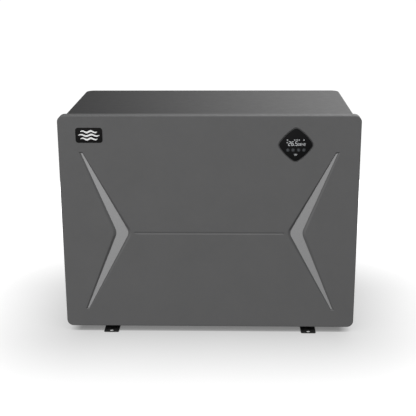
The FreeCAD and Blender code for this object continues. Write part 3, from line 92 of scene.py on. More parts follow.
class Shade:
    """A principled material under construction."""

    def __init__(self, name, color, roughness, metallic=0.0, **sockets):
        self.material = bpy.data.materials.new(name)
        self.material.use_nodes = True
        self.nodes = self.material.node_tree.nodes
        self.links = self.material.node_tree.links
        self.shader = self.nodes["Principled BSDF"]
        self.color = color
        self.shader.inputs["Base Color"].default_value = (*color, 1)
        self.shader.inputs["Roughness"].default_value = roughness
        self.shader.inputs["Metallic"].default_value = metallic
        for socket, value in sockets.items():
            self.shader.inputs[socket.replace("_", " ")].default_value = value
        self.place = self.nodes.new("ShaderNodeTexCoord").outputs["Object"]

    def texture_place(self, stretch):
        """Object coordinates, multiplied per axis when a stretch is given."""
        if stretch is None:
            return self.place
        mapping = self.nodes.new("ShaderNodeMapping")
        mapping.inputs["Scale"].default_value = stretch
        self.links.new(self.place, mapping.inputs["Vector"])
        return mapping.outputs["Vector"]

    def noise(self, scale, detail=2.0, stretch=None, rough=0.5):
        texture = self.nodes.new("ShaderNodeTexNoise")
        texture.inputs["Scale"].default_value = scale
        texture.inputs["Detail"].default_value = detail
        texture.inputs["Roughness"].default_value = rough
        self.links.new(self.texture_place(stretch), texture.inputs["Vector"])
        return texture.outputs["Fac"]

    def spread(self, value, low, high, start=0.3, end=0.7):
        """A texture's value mapped to a range."""
        remap = self.nodes.new("ShaderNodeMapRange")
        for socket, number in (("From Min", start), ("From Max", end), ("To Min", low), ("To Max", high)):
            remap.inputs[socket].default_value = number
        self.links.new(value, remap.inputs["Value"])
        return remap.outputs["Result"]

    def tint(self, factor, other):
        """The base colour mixed with another one by a texture."""
        mix = self.nodes.new("ShaderNodeMix")
        mix.data_type = "RGBA"
        colors = [socket for socket in mix.inputs if socket.type == "RGBA"]
        colors[0].default_value = (*self.color, 1)
        colors[1].default_value = (*other, 1)
        self.links.new(factor, mix.inputs["Factor"])
        result = [socket for socket in mix.outputs if socket.type == "RGBA"][0]
        self.links.new(result, self.shader.inputs["Base Color"])

    def roughen(self, value, low, high):
        self.links.new(self.spread(value, low, high), self.shader.inputs["Roughness"])

    def bump(self, height, strength, distance):
        node = self.nodes.new("ShaderNodeBump")
        node.inputs["Strength"].default_value = strength
        node.inputs["Distance"].default_value = distance
        self.links.new(height, node.inputs["Height"])
        for link in self.shader.inputs["Normal"].links:
            self.links.new(link.from_socket, node.inputs["Normal"])
        self.links.new(node.outputs["Normal"], self.shader.inputs["Normal"])


def grey(value, blue=0.0):
    """A near-neutral colour."""
    return (value, value, value * (1 + blue))


def scaled(color, factor):
    return tuple(channel * factor for channel in color)


def moulded(name, color, roughness, grain=1400, strength=0.35, specular=0.5):
    """Moulded plastic with a fine spark-eroded grain."""
    shade = Shade(name, color, roughness, Specular_IOR_Level=specular)
    shade.tint(shade.spread(shade.noise(9, 3), 0, 1), scaled(color, 1.06))
    shade.roughen(shade.noise(60, 4), roughness - 0.05, roughness + 0.05)
    shade.bump(shade.noise(grain, 3, rough=0.6), strength, 0.05 * MM)
    return shade.material


def powder_coat(name, color, roughness, peel=420, specular=0.5):
    """Powder-coated steel with a slight orange peel."""
    shade = Shade(name, color, roughness, Specular_IOR_Level=specular)
    shade.tint(shade.spread(shade.noise(7, 3), 0, 1), scaled(color, 1.03))
    shade.roughen(shade.noise(45, 4), roughness - 0.01, roughness + 0.02)
    shade.bump(shade.noise(peel), 0.06, 0.05 * MM)
    shade.bump(shade.noise(2600), 0.04, 0.03 * MM)
    return shade.material


def brushed(name, color, roughness, stretch, contrast=0.8):
    """Metal with a grain that is finest along the axis with the largest stretch."""
    shade = Shade(name, color, roughness, 1.0)
    grain = shade.noise(1, 4, stretch, 0.7)
    shade.tint(shade.spread(grain, 0, 1), scaled(color, contrast))
    shade.roughen(grain, roughness - 0.08, roughness + 0.1)
    shade.bump(grain, 0.25, 0.03 * MM)
    return shade.material


def glossy(name, color, roughness, **sockets):
    """A smooth surface with faint smears in its gloss."""
    shade = Shade(name, color, roughness, **sockets)
    shade.roughen(shade.noise(35, 3), roughness, roughness + 0.06)
    shade.tint(shade.spread(shade.noise(14), 0, 1), scaled(color, 1.1))
    return shade.material


def galvanised(name):
    """Zinc-coated sheet with its crystals."""
    shade = Shade(name, grey(0.5, 0.03), 0.4, 1.0)
    cells = shade.nodes.new("ShaderNodeTexVoronoi")
    cells.inputs["Scale"].default_value = 130
    shade.links.new(shade.place, cells.inputs["Vector"])
    shade.tint(shade.spread(cells.outputs["Color"], 0, 1, 0, 1), grey(0.38, 0.03))
    shade.roughen(cells.outputs["Color"], 0.32, 0.5)
    return shade.material


def lit(name, color, strength):
    """A mark that glows behind the display's glass."""
    shade = Shade(name, grey(0.01), 0.4, Specular_IOR_Level=0.1, Emission_Color=(*color, 1))
    glow = shade.spread(shade.noise(900, 1), strength * 0.85, strength)
    shade.links.new(glow, shade.shader.inputs["Emission Strength"])
    return shade.material


def lens(name):
    shade = Shade(name, grey(0.95, 0.01), 0.03, Transmission_Weight=1.0, IOR=1.49)
    shade.roughen(shade.noise(25, 3), 0.02, 0.06)
    return shade.material


MATERIALS = {
    "casing_paint": moulded("casing_plastic", grey(0.076, 0.012), 0.5, specular=0.5),
    "cover_paint": powder_coat("cover_powder_coat", grey(0.022, 0.02), 0.42, specular=0.4),
    "silver_trim": brushed("silver_trim", grey(0.35, 0.01), 0.5, (1400, 1400, 500), 0.86),
    "badge": glossy("badge_black", grey(0.004), 0.25, Specular_IOR_Level=0.08),
    "black_glass": glossy("display_glass", grey(0.004, 0.1), 0.15, Specular_IOR_Level=0.07),
    "black_plastic": moulded("black_plastic", grey(0.02, 0.02), 0.45),
    "black_steel": powder_coat("black_powder_coat", grey(0.011), 0.5),
    "zinc_steel": galvanised("galvanised_steel"),
    "fin_aluminium": brushed("fin_aluminium", grey(0.6, 0.02), 0.35, (400, 400, 12), 0.85),
    "copper": brushed("copper_tube", (0.72, 0.30, 0.16), 0.3, (90, 90, 90), 0.75),
    "rubber": moulded("black_rubber", grey(0.014), 0.75, 900),
    "circuit_board": moulded("circuit_board", (0.02, 0.13, 0.06), 0.4, 700),
    "fan_plastic": moulded("fan_plastic", grey(0.03, 0.02), 0.4),
    "motor_case": powder_coat("motor_case", grey(0.25, 0.02), 0.45),
    "compressor_paint": glossy("compressor_enamel", grey(0.01), 0.25, Coat_Weight=0.4),
    "grey_pvc": moulded("grey_pvc", grey(0.085, 0.08), 0.33, 900, 0.15),
    "titanium": brushed("titanium", grey(0.42, -0.04), 0.35, (60, 60, 500)),
    "brass": brushed("brass", (0.68, 0.47, 0.2), 0.3, (200, 200, 200)),
    "clear_lens": lens("gauge_lens"),
    "dial_white": powder_coat("gauge_enamel", grey(0.72, -0.02), 0.35),
}
PRINT_WHITE = powder_coat("print_white", grey(0.78), 0.45)
PRINT_BLACK = moulded("print_black", grey(0.015), 0.5)
PRINT_RED = moulded("print_red", (0.5, 0.02, 0.015), 0.45)
LIT_WHITE = lit("lit_white", (0.96, 0.98, 1.0), 0.65)
LIT_DIM = lit("lit_dim", (0.85, 0.92, 1.0), 0.09)
SLOT_OF = {part["node"]: part["material_slot"] for part in frame["record"]["subparts"]}


# ---------------------------------------------------------------- mesh helpers


class Plane:
    """Turns (across, up, depth) into a point, for a surface seen from its outside."""

    def __init__(self, across, outward):
        self.across = Vector(across)
        self.outward = Vector(outward)

    def point(self, u, v, depth):
        """depth is the distance along the outward direction from the frame's origin."""
        return self.across * u + Vector((0, 0, v)) + self.outward * depth


FRONT = Plane((1, 0, 0), (0, -1, 0))
RIGHT = Plane((0, 1, 0), (1, 0, 0))


class Build:
    """Points and faces of one mesh, made from outlines at different depths."""

    def __init__(self, plane=FRONT):
        self.plane = plane
        self.points = []
        self.flat = []
        self.faces = []

    def ring(self, outline, depth):
        """The points of an (across, up) outline at one depth."""
        start = len(self.points)
        self.points += [self.plane.point(u, v, depth) for u, v in outline]
        self.flat += [tuple(point) for point in outline]
        return list(range(start, len(self.points)))

    def band(self, first, second):
        """Faces between two rings with the same number of points."""
        count = len(first)
        for i in range(count):
            j = (i + 1) % count
            self.faces.append((first[i], first[j], second[j], second[i]))

    def loft(self, rings):
        for first, second in zip(rings, rings[1:]):
            self.band(first, second)

    def cap(self, ring):
        self.faces.append(tuple(ring))

    def prism(self, outline, front, back):
        """A plate of an outline between two depths."""
        rings = [self.ring(outline, front), self.ring(outline, back)]
        self.band(*rings)
        self.cap(rings[0])
        self.cap(rings[1])

    def hoop(self, outer, inner, front, back):
        """A flat ring between two outlines with the same number of points."""
        rings = [self.ring(outer, front), self.ring(outer, back), self.ring(inner, back),
                 self.ring(inner, front)]
        self.loft(rings + rings[:1])

    def sheet(self, outer, holes):
        """A flat face between an outer ring and the rings of its holes."""
        loops = [outer, *holes]
        numbers = [number for loop in loops for number in loop]
        edges, start = [], 0
        for loop in loops:
            count = len(loop)
            edges += [(start + i, start + (i + 1) % count) for i in range(count)]
            start += count
        flat = [Vector(self.flat[number]) for number in numbers]
        places, _, triangles, sources, _, _ = delaunay_2d_cdt(flat, edges, [], 1, 1e-7)
        outlines = [[self.flat[number] for number in loop] for loop in loops]
        for triangle in triangles:
            centre = sum((places[i] for i in triangle), Vector((0, 0))) / 3
            if within(outlines[0], centre) and not any(within(hole, centre) for hole in outlines[1:]):
                self.faces.append(tuple(numbers[sources[i][0]] for i in triangle))


def within(outline, point):
    """Whether a point lies inside a closed outline."""
    hit = False
    for (x0, z0), (x1, z1) in zip(outline, outline[1:] + outline[:1]):
        if (z0 > point.y) != (z1 > point.y) and point.x < x0 + (point.y - z0) * (x1 - x0) / (z1 - z0):
            hit = not hit
    return hit


def linked(name, data):
    """A new object in the scene."""
    obj = bpy.data.objects.new(name, data)
    bpy.context.scene.collection.objects.link(obj)
    return obj


def piece(name, points, faces, slot, body=CABINET, replaces=(), material=None, angle=35):
    """A mesh object that rides on a body and takes its finish from a material slot."""
    mesh = bpy.data.meshes.new(name)
    mesh.from_pydata([tuple(point) for point in points], [], faces)
    work = bmesh.new()
    work.from_mesh(mesh)
    bmesh.ops.recalc_face_normals(work, faces=work.faces)
    work.to_mesh(mesh)
    work.free()
    mesh.shade_smooth()
    mesh.set_sharp_from_angle(angle=math.radians(angle))
    obj = linked(name, mesh)
    mesh.materials.append(material or MATERIALS[slot])
    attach(obj, body)
    if replaces:
        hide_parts(*replaces)
    return obj


def weighted(obj):
    """Normals that keep large faces flat beside small rounds."""
    modifier = obj.modifiers.new("weighted", "WEIGHTED_NORMAL")
    modifier.keep_sharp = True
    modifier.weight = 100
    return obj


def arc(centre, radius, start, end, steps):
    """Points of an arc, angles in degrees."""
    angles = [math.radians(start + (end - start) * i / steps) for i in range(steps + 1)]
    return [(centre[0] + radius * math.cos(a), centre[1] + radius * math.sin(a)) for a in angles]


def circle(centre, radius, steps=24):
    return arc(centre, radius, 0, 360, steps)[:-1]


def oval(centre, half_width, half_height, steps=28):
    return [(centre[0] + u * half_width, centre[1] + v * half_height) for u, v in circle((0, 0), 1, steps)]


def rounded_rectangle(low, high, radius, steps=10):
    """An outline that starts at the lower left corner and runs anticlockwise."""
    (x0, z0), (x1, z1) = low, high
    centres = [(x0 + radius, z0 + radius), (x1 - radius, z0 + radius), (x1 - radius, z1 - radius),
               (x0 + radius, z1 - radius)]
    outline = []
    for centre, start in zip(centres, (180, 270, 0, 90)):
        outline += arc(centre, radius, start, start + 90, steps)
    return outline


def softened(corners, reaches, steps=6):
    """An outline whose corners are rounded, each over its own reach along both its sides."""
    outline = []
    for i, (corner, reach) in enumerate(zip(corners, reaches)):
        corner, before = Vector(corner), Vector(corners[i - 1])
        after = Vector(corners[(i + 1) % len(corners)])
        start = corner + (before - corner).normalized() * reach
        end = corner + (after - corner).normalized() * reach
        for k in range(steps + 1):
            t = k / steps
            outline.append(tuple(start * (1 - t) ** 2 + corner * 2 * t * (1 - t) + end * t ** 2))
    return outline


def islands(node):
    """The box of each separate solid in a CAD node."""
    work = bmesh.new()
    work.from_mesh(frame["nodes"][node].data)
    bmesh.ops.remove_doubles(work, verts=work.verts, dist=0.001 * MM)
    left = set(work.verts)
    boxes = []
    while left:
        found, edge = set(), {next(iter(left))}
        while edge:
            found |= edge
            edge = {other for vert in edge for link in vert.link_edges for other in link.verts} - found
        left -= found
        corners = [[pick(vert.co[i] for vert in found) for i in range(3)] for pick in (min, max)]
        boxes.append((Vector(corners[0]), Vector(corners[1])))
    work.free()
    return sorted(boxes, key=lambda box: tuple(round(c, 5) for c in box[0]))


# ---------------------------------------------------------------- front panel


def panel_outline(inset):
    """The front panel's outline, made smaller all round."""
    low = (PANEL_LOW.x + inset, PANEL_LOW.z + inset)
    high = (PANEL_HIGH.x - inset, PANEL_HIGH.z - inset)
    return rounded_rectangle(low, high, PANEL_CORNER - inset, 12)


def chevron_outline(side, grow):
    """A chevron's outline with softened corners, made wider by grow."""
    far = TRIM_HIGH.x + grow * TIP_SHARE
    near = TRIM_HIGH.x - BLUNT_TIP
    inner = TRIM_LOW.x - grow * ELBOW_SHARE
    outer = TRIM_LOW.x + ELBOW_WIDTH + grow * ELBOW_SHARE
    reach = (TRIM_HIGH.z - TRIM_LOW.z) / 2 + grow / 2
    corners = [(far * side, ELBOW_Z + reach), (near * side, ELBOW_Z + reach), (inner * side, ELBOW_Z),
               (near * side, ELBOW_Z - reach), (far * side, ELBOW_Z - reach), (outer * side, ELBOW_Z)]
    return softened(corners, (SOFT_TIP, SOFT_TIP, SOFT_ELBOW) * 2)


def diamond(reach, steps=14):
    """The display's outline, a bulging square on its corner whose arcs meet without a kink."""
    centre = (GLASS_LOW + GLASS_HIGH) / 2
    tip, bulge = reach * TIP_ROUND, reach * SIDE_BULGE
    flat = reach - tip
    side = (tip ** 2 - bulge ** 2 + math.sqrt(2) * flat * bulge - flat ** 2) / (
        math.sqrt(2) * flat + 2 * tip - 2 * bulge)
    offset = (bulge - side) / math.sqrt(2)
    lean = math.degrees(math.atan2(-offset, flat - offset))
    quarter = arc((flat, 0), tip, -lean, lean, 6)[:-1]
    quarter += arc((offset, offset), side, lean, 90 - lean, steps)[:-1]
    outline = []
    for turn in range(4):
        spin = Matrix.Rotation(turn * math.pi / 2, 2)
        outline += [spin @ Vector(point) for point in quarter]
    return [(centre.x + point.x, centre.z + point.y) for point in outline]


def crease_outline(half_length, half_height, drop=0.0):
    """A long hexagon with its points at the chevrons' elbows."""
    middle = ELBOW_Z - drop
    low, high = middle - half_height, middle + half_height
    shoulder = half_length - CREASE_TAPER
    return [(-half_length, middle), (-shoulder, low), (shoulder, low), (half_length, middle),
            (shoulder, high), (-shoulder, high)]


def make_front_shell():
    """The deep pressed tray with its recesses, crease and display window."""
    build = Build()
    face = -FACE_Y
    steps = 6
    edge = []
    for i in range(steps + 1):
        turn = math.pi / 2 * i / steps
        edge.append(build.ring(panel_outline(PANEL_EDGE * (1 - math.cos(turn))),
                               face - PANEL_EDGE * (1 - math.sin(turn))))
    rim = [build.ring(panel_outline(PANEL_RIM), face - PANEL_FACE),
           build.ring(panel_outline(PANEL_RIM), -RIM_Y),
           build.ring(panel_outline(RIM_EDGE), -RIM_Y),
           build.ring(panel_outline(0), -RIM_Y + RIM_EDGE)]
    build.loft(rim + edge)

    holes = []
    depth = TRIM_HIGH.y - FACE_Y
    soft = 1.4 * MM
    for side in (-1, 1):
        profile = [(RECESS_BEVEL + soft, 0), (RECESS_BEVEL + soft * 0.45, 0.012 * depth),
                   (RECESS_BEVEL - soft * 0.3, 0.09 * depth), (RECESS_BEVEL - soft, 0.2 * depth),
                   (0.5 * MM, depth)]
        slope = [build.ring(chevron_outline(side, grow), face - down) for grow, down in profile]
        build.loft(slope)
        build.cap(slope[-1])
        holes.append(slope[0])

    length = TRIM_LOW.x - RECESS_BEVEL - 4 * MM
    groove = [build.ring(crease_outline(length, CREASE_HALF), face),
              build.ring(crease_outline(length - 6 * MM, 0.3 * MM, CREASE_DROP), face - CREASE_DEPTH)]
    build.loft(groove)
    build.cap(groove[-1])
    holes.append(groove[0])

    window = (BEZEL_HIGH.x - BEZEL_LOW.x) / 2 + 0.1 * MM
    profile = [(2.8 * MM, 0), (2.4 * MM, 0.1 * MM), (0.2 * MM, 1.3 * MM), (0, 1.4 * MM), (0, PANEL_FACE)]
    chamfer = [build.ring(diamond(window + out), face - down) for out, down in profile]
    build.loft(chamfer)
    holes.append(chamfer[0])
    build.sheet(edge[-1], holes)
    build.sheet(rim[0], [chamfer[-1]])
    weighted(piece("front_shell", build.points, build.faces, "casing_paint", replaces=["front_panel"],
                   angle=20))


def plate(build, outline_at, front, back, edge, steps=3):
    """A plate with a rounded front edge. outline_at gives its outline for an inset."""
    rings = [build.ring(outline_at(0), back)]
    for i in range(steps + 1):
        turn = math.pi / 2 * i / steps
        inset, down = edge * (1 - math.cos(turn)), edge * (1 - math.sin(turn))
        rings.append(build.ring(outline_at(inset), front - down))
    build.loft(rings)
    build.cap(rings[0])
    build.cap(rings[-1])


def make_chevrons():
    """The two silver trims, each a little smaller than the floor of its recess."""
    play, edge = 0.7 * MM, 0.35 * MM
    for word, side in (("left", -1), ("right", 1)):
        build = Build()
        plate(build, lambda inset: chevron_outline(side, -play - inset), -TRIM_LOW.y, -TRIM_HIGH.y, edge)
        weighted(piece(f"chevron_{word}", build.points, build.faces, "silver_trim",
                       replaces=[f"chevron_trim_{word}"]))


def wave(low_x, high_x, level, height, thick, cycles=2.0, steps=48):
    """A wavy strip whose ends thin out."""
    upper, lower = [], []
    for i in range(steps + 1):
        t = i / steps
        x = low_x + (high_x - low_x) * t
        z = level + height * math.sin(2 * math.pi * cycles * t)
        half = thick / 2 * (0.25 + 0.75 * math.sin(math.pi * t) ** 0.5)
        upper.append((x, z + half))
        lower.append((x, z - half))
    return lower + upper[::-1]


def make_badge():
    """A plain plate with three waves of water."""
    build = Build()
    front = -BADGE_LOW.y

    def outline(inset):
        return rounded_rectangle((BADGE_LOW.x + inset, BADGE_LOW.z + inset),
                                 (BADGE_HIGH.x - inset, BADGE_HIGH.z - inset), 8 * MM - inset, 8)

    plate(build, outline, front - 0.3 * MM, -BADGE_HIGH.y, 0.4 * MM)
    piece("badge_body", build.points, build.faces, "badge", replaces=["badge_plate"])
    marks = Build()
    centre = (BADGE_LOW + BADGE_HIGH) / 2
    width, pitch = (BADGE_HIGH.x - BADGE_LOW.x) * 0.78, 10.5 * MM
    for row, share in ((-1, 0.8), (0, 1.0), (1, 0.8)):
        half = width * share / 2
        strip = wave(centre.x - half, centre.x + half, centre.z + row * pitch, 2.2 * MM, 5.2 * MM)
        marks.prism(strip, front - 0.05 * MM, front - 0.32 * MM)
    piece("badge_waves", marks.points, marks.faces, "badge", material=PRINT_WHITE)


# ---------------------------------------------------------------- display

SEGMENTS = {"0": "abcdef", "1": "bc", "2": "abdeg", "3": "abcdg", "4": "bcfg", "5": "acdfg",
            "6": "acdefg", "7": "abc", "8": "abcdefg", "9": "abcdfg"}
SEGMENT_ENDS = {"a": ((0, 1), (1, 1)), "b": ((1, 1), (1, 0.5)), "c": ((1, 0.5), (1, 0)),
                "d": ((0, 0), (1, 0)), "e": ((0, 0.5), (0, 0)), "f": ((0, 1), (0, 0.5)),
                "g": ((0, 0.5), (1, 0.5))}

# Distances from the display's centre, in millimetres: text, left end, lower edge, height.
READOUTS = (("26.5", -21.5, -1.6, 11.4), ("08:40", 6.6, -1.6, 6.6))
MARKS_X, MARKS_Z = (-24.5, -3.8, 3, 9, 22.5), 14.6
BARS_X, BARS_Z = (-27, -23), (6, 7.8)
OVAL_X, OVAL_Z = -0.5, -28.4
KEYS_X, KEYS_Z = (-23, -8, 8, 23), -14.7


def segment(start, end, thick):
    """A bar with pointed ends between two points."""
    start, end = Vector(start), Vector(end)
    along = (end - start).normalized() * thick / 2
    aside = Vector((-along.y, along.x))
    return [tuple(p) for p in (start, start + along - aside, end - along - aside, end, end - along + aside,
                               start + along + aside)]


def draw_digit(build, digit, left, low, height, depths):
    """A seven-segment digit with a slight slant."""
    width, thick, slant = height * 0.45, height * 0.12, 0.08

    def at(u, v):
        return (left + u * width + slant * v * height, low + v * height)

    for name in SEGMENTS[digit]:
        start, end = SEGMENT_ENDS[name]
        build.prism(segment(at(*start), at(*end), thick), *depths)


def draw_number(build, text, left, low, height, depths):
    """A row of digits, with its decimal points or colons."""
    digit_step, dot_step = height * 0.78, height * 0.18
    dot_back, dot_radius = height * 0.06, height * 0.07
    for character in text:
        if character in SEGMENTS:
            draw_digit(build, character, left, low, height, depths)
            left += digit_step
            continue
        for level in ((0,) if character == "." else (0.28, 0.72)):
            build.prism(circle((left - dot_back, low + level * height), dot_radius, 10), *depths)
        left += dot_step


def make_display():
    """The bezel, the glass, and what is lit behind the glass."""
    centre = (GLASS_LOW + GLASS_HIGH) / 2
    reach = (BEZEL_HIGH.x - BEZEL_LOW.x) / 2
    inner = (GLASS_HIGH.x - GLASS_LOW.x) / 2
    proud, back = -BEZEL_LOW.y, -BEZEL_HIGH.y
    build = Build()
    profile = [(reach, back), (reach, proud - 0.5 * MM), (reach - 0.15 * MM, proud - 0.15 * MM),
               (reach - 0.5 * MM, proud), (inner + 0.5 * MM, proud), (inner + 0.1 * MM, proud - 0.15 * MM),
               (inner, proud - 0.4 * MM), (inner, back)]
    rings = [build.ring(diamond(size), depth) for size, depth in profile]
    build.loft(rings + rings[:1])
    piece("display_rim", build.points, build.faces, "black_plastic", replaces=["display_bezel"], angle=50)

    build = Build()
    plate(build, lambda inset: diamond(inner - 0.05 * MM - inset), -GLASS_LOW.y, -GLASS_HIGH.y, 0.3 * MM)
    piece("display_window", build.points, build.faces, "black_glass", replaces=["display_glass"])

    def spot(x, z):
        return (centre.x + x * MM, centre.z + z * MM)

    depths = (-GLASS_LOW.y + 0.06 * MM, -GLASS_LOW.y - 0.04 * MM)
    build = Build()
    for text, left, low, height in READOUTS:
        draw_number(build, text, *spot(left, low), height * MM, depths)
    for x in MARKS_X:
        mark = spot(x, MARKS_Z)
        build.hoop(circle(mark, 1.9 * MM, 16), circle(mark, 1.2 * MM, 16), *depths)
    for z in BARS_Z:
        build.prism(segment(spot(BARS_X[0], z), spot(BARS_X[1], z), 0.9 * MM), *depths)
    mark = spot(OVAL_X, OVAL_Z)
    build.hoop(oval(mark, 4.4 * MM, 2.4 * MM), oval(mark, 3.7 * MM, 1.7 * MM), *depths)
    build.prism(circle(mark, 0.8 * MM, 12), *depths)
    piece("display_digits", build.points, build.faces, "black_glass", material=LIT_WHITE)

    build = Build()
    for x in KEYS_X:
        key = spot(x, KEYS_Z)
        build.hoop(circle(key, 4.5 * MM), circle(key, 3.7 * MM), *depths)
        build.prism(circle(key, 2.2 * MM), *depths)
    piece("display_keys", build.points, build.faces, "black_glass", material=LIT_DIM)


# ---------------------------------------------------------------- finned coil

COIL_THICK = 44 * MM
COIL_BEND = COIL_THICK + 16 * MM
FIN_HALF = 0.14 * MM
FIN_PITCH = 2.2 * MM
TUBE_RADIUS = 4.2 * MM
TUBE_ROWS = 24
TUBE_STEP = 12 * MM


def block(points, faces, corners, low, high):
    """A slab on a four-cornered footprint, between two heights."""
    start = len(points)
    points += [(x, y, z) for z in (low, high) for x, y in corners]
    faces += [(start + 3, start + 2, start + 1, start), (start + 4, start + 5, start + 6, start + 7)]
    for i in range(4):
        j = (i + 1) % 4
        faces.append((start + i, start + j, start + 4 + j, start + 4 + i))


def coil_line(offset, share_step):
    """Places along the coil at a distance from its outer face: points and the way outwards."""
    bend = Vector((COIL_LOW.x + COIL_BEND, COIL_HIGH.y - COIL_BEND))
    places = []
    count = round((COIL_HIGH.x - bend.x) / share_step)
    for i in range(count):
        x = COIL_HIGH.x - (COIL_HIGH.x - bend.x) * (i + 0.5) / count
        places.append((Vector((x, COIL_HIGH.y - offset)), Vector((0, 1))))
    count = round(COIL_BEND * 0.8 * math.pi / 2 / share_step)
    for i in range(count):
        turn = math.pi / 2 * (1 + (i + 0.5) / count)
        way = Vector((math.cos(turn), math.sin(turn)))
        places.append((bend + way * (COIL_BEND - offset), way))
    count = round((bend.y - COIL_LOW.y) / share_step)
    for i in range(count):
        y = bend.y - (bend.y - COIL_LOW.y) * (i + 0.5) / count
        places.append((Vector((COIL_LOW.x + offset, y)), Vector((-1, 0))))
    return places


def make_coil():
    """Closely spaced fins on two staggered rows of tubes."""
    points, faces = [], []
    for place, way in coil_line(0, FIN_PITCH):
        along = Vector((-way.y, way.x)) * FIN_HALF
        deep = way * COIL_THICK
        block(points, faces, [place - along, place + along, place + along - deep, place - along - deep],
              COIL_LOW.z, COIL_HIGH.z)
    piece("coil_fin_stack", points, faces, "fin_aluminium", replaces=["coil_fins"], angle=20)

    points, faces = [], []
    sides = 8
    for column, offset in enumerate((COIL_THICK * 0.27, COIL_THICK * 0.73)):
        path = coil_line(offset, TUBE_STEP)
        for row in range(TUBE_ROWS):
            level = COIL_LOW.z + (COIL_HIGH.z - COIL_LOW.z) * (row + 0.3 + 0.4 * column) / TUBE_ROWS
            start = len(points)
            for place, way in path:
                for i in range(sides):
                    turn = 2 * math.pi * i / sides
                    spot = place + way * TUBE_RADIUS * math.cos(turn)
                    points.append((spot.x, spot.y, level + TUBE_RADIUS * math.sin(turn)))
            for k in range(len(path) - 1):
                for i in range(sides):
                    j = (i + 1) % sides
                    base, over = start + k * sides, start + (k + 1) * sides
                    faces.append((base + i, base + j, over + j, over + i))
            faces.append(tuple(range(start, start + sides)))
            faces.append(tuple(range(len(points) - sides, len(points))))
    piece("coil_tubes", points, faces, "fin_aluminium", replaces=["coil_fins"], angle=50)


# ---------------------------------------------------------------- screws

SCREW_RADIUS = 4.2 * MM
SCREW_DOME = 2.2 * MM


def cross_outline(reach, half):
    """A cross-head recess."""
    return [(half, half), (reach, half), (reach, -half), (half, -half), (half, -reach), (-half, -reach),
            (-half, -half), (-reach, -half), (-reach, half), (-half, half), (-half, reach), (half, reach)]


def screw_head():
    """A pan head with a cross recess, seated at the origin and facing -Y."""
    build = Build()
    profile = [(1.0, 0), (1.0, 0.35), (0.93, 0.68), (0.8, 0.9), (0.62, 1.0)]
    rings = [build.ring(circle((0, 0), SCREW_RADIUS * r, 28), SCREW_DOME * h) for r, h in profile]
    build.loft(rings)
    build.cap(rings[0])
    mouth = build.ring(cross_outline(1.9 * MM, 0.42 * MM), SCREW_DOME)
    bottom = build.ring(cross_outline(1.2 * MM, 0.3 * MM), SCREW_DOME * 0.35)
    build.sheet(rings[-1], [mouth])
    build.band(mouth, bottom)
    build.cap(bottom)
    return build.points, build.faces


def make_screws():
    """Every cabinet screw, its head turned by a different amount."""
    head_points, head_faces = screw_head()
    points, faces = [], []
    for number, (low, high) in enumerate(islands("cabinet_screws")):
        size, centre = high - low, (low + high) / 2
        if size.x > size.y:
            side = 1 if centre.x > 0 else -1
            seat = Vector((max(abs(low.x), abs(high.x)) - SCREW_DOME, 0, 0)) * side
            seat = Vector((seat.x, centre.y, centre.z))
            turn = Matrix.Rotation(math.radians(90 * side), 4, "Z")
        else:
            seat = Vector((centre.x, high.y - SCREW_DOME, centre.z))
            turn = Matrix.Rotation(math.pi, 4, "Z")
        spin = Matrix.Rotation(math.radians(37 * number), 4, "Y")
        start = len(points)
        points += [seat + turn @ (spin @ point) for point in head_points]
        faces += [tuple(start + i for i in face) for face in head_faces]
    piece("cabinet_screw_heads", points, faces, "zinc_steel", replaces=["cabinet_screws"], angle=40)


# ---------------------------------------------------------------- pressure gauge

DIAL_DEPTH = 12 * MM
SWEEP = (-135, 135)
TICKS = 30
FIGURES = 7


def dial_point(centre, angle, radius):
    """A point on the dial, its angle clockwise from upright."""
    turn = math.radians(angle)
    return Vector((centre.y + radius * math.sin(turn), centre.z + radius * math.cos(turn)))


def make_gauge_face():
    """Scale marks, a fine ring round them, and figures on the dial."""
    low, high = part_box("gauge_case")
    centre = (low + high) / 2
    dial = low.x + DIAL_DEPTH
    depths = (dial + 0.12 * MM, dial - 0.1 * MM)
    build = Build(RIGHT)
    for i in range(TICKS + 1):
        angle = SWEEP[0] + (SWEEP[1] - SWEEP[0]) * i / TICKS
        major = i % 5 == 0
        start = dial_point(centre, angle, (20.5 if major else 23) * MM)
        end = dial_point(centre, angle, 25.5 * MM)
        along = (end - start).normalized()
        aside = Vector((-along.y, along.x)) * (0.45 if major else 0.22) * MM
        corners = (start - aside, end - aside, end + aside, start + aside)
        build.prism([tuple(corner) for corner in corners], *depths)
    middle = (centre.y, centre.z)
    build.hoop(circle(middle, 26.4 * MM, 72), circle(middle, 25.9 * MM, 72), *depths)
    piece("gauge_scale", build.points, build.faces, "dial_white", material=PRINT_BLACK)

    for number in range(FIGURES):
        angle = SWEEP[0] + (SWEEP[1] - SWEEP[0]) * number / (FIGURES - 1)
        spot = dial_point(centre, angle, 16.6 * MM)
        curve = bpy.data.curves.new("dial_figure", "FONT")
        curve.body = str(number)
        curve.size = 7 * MM
        curve.align_x = "CENTER"
        curve.align_y = "CENTER"
        curve.extrude = 0.06 * MM
        source = linked("dial_figure", curve)
        mesh = bpy.data.meshes.new_from_object(source)
        bpy.data.objects.remove(source)
        bpy.data.curves.remove(curve)
        turn = Matrix(((0, 0, 1, dial + 0.06 * MM), (1, 0, 0, spot.x), (0, 1, 0, spot.y), (0, 0, 0, 1)))
        mesh.transform(turn)
        obj = linked(f"gauge_figure_{number}", mesh)
        mesh.materials.clear()
        mesh.materials.append(PRINT_BLACK)
        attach(obj, CABINET)


# ---------------------------------------------------------------- CAD nodes

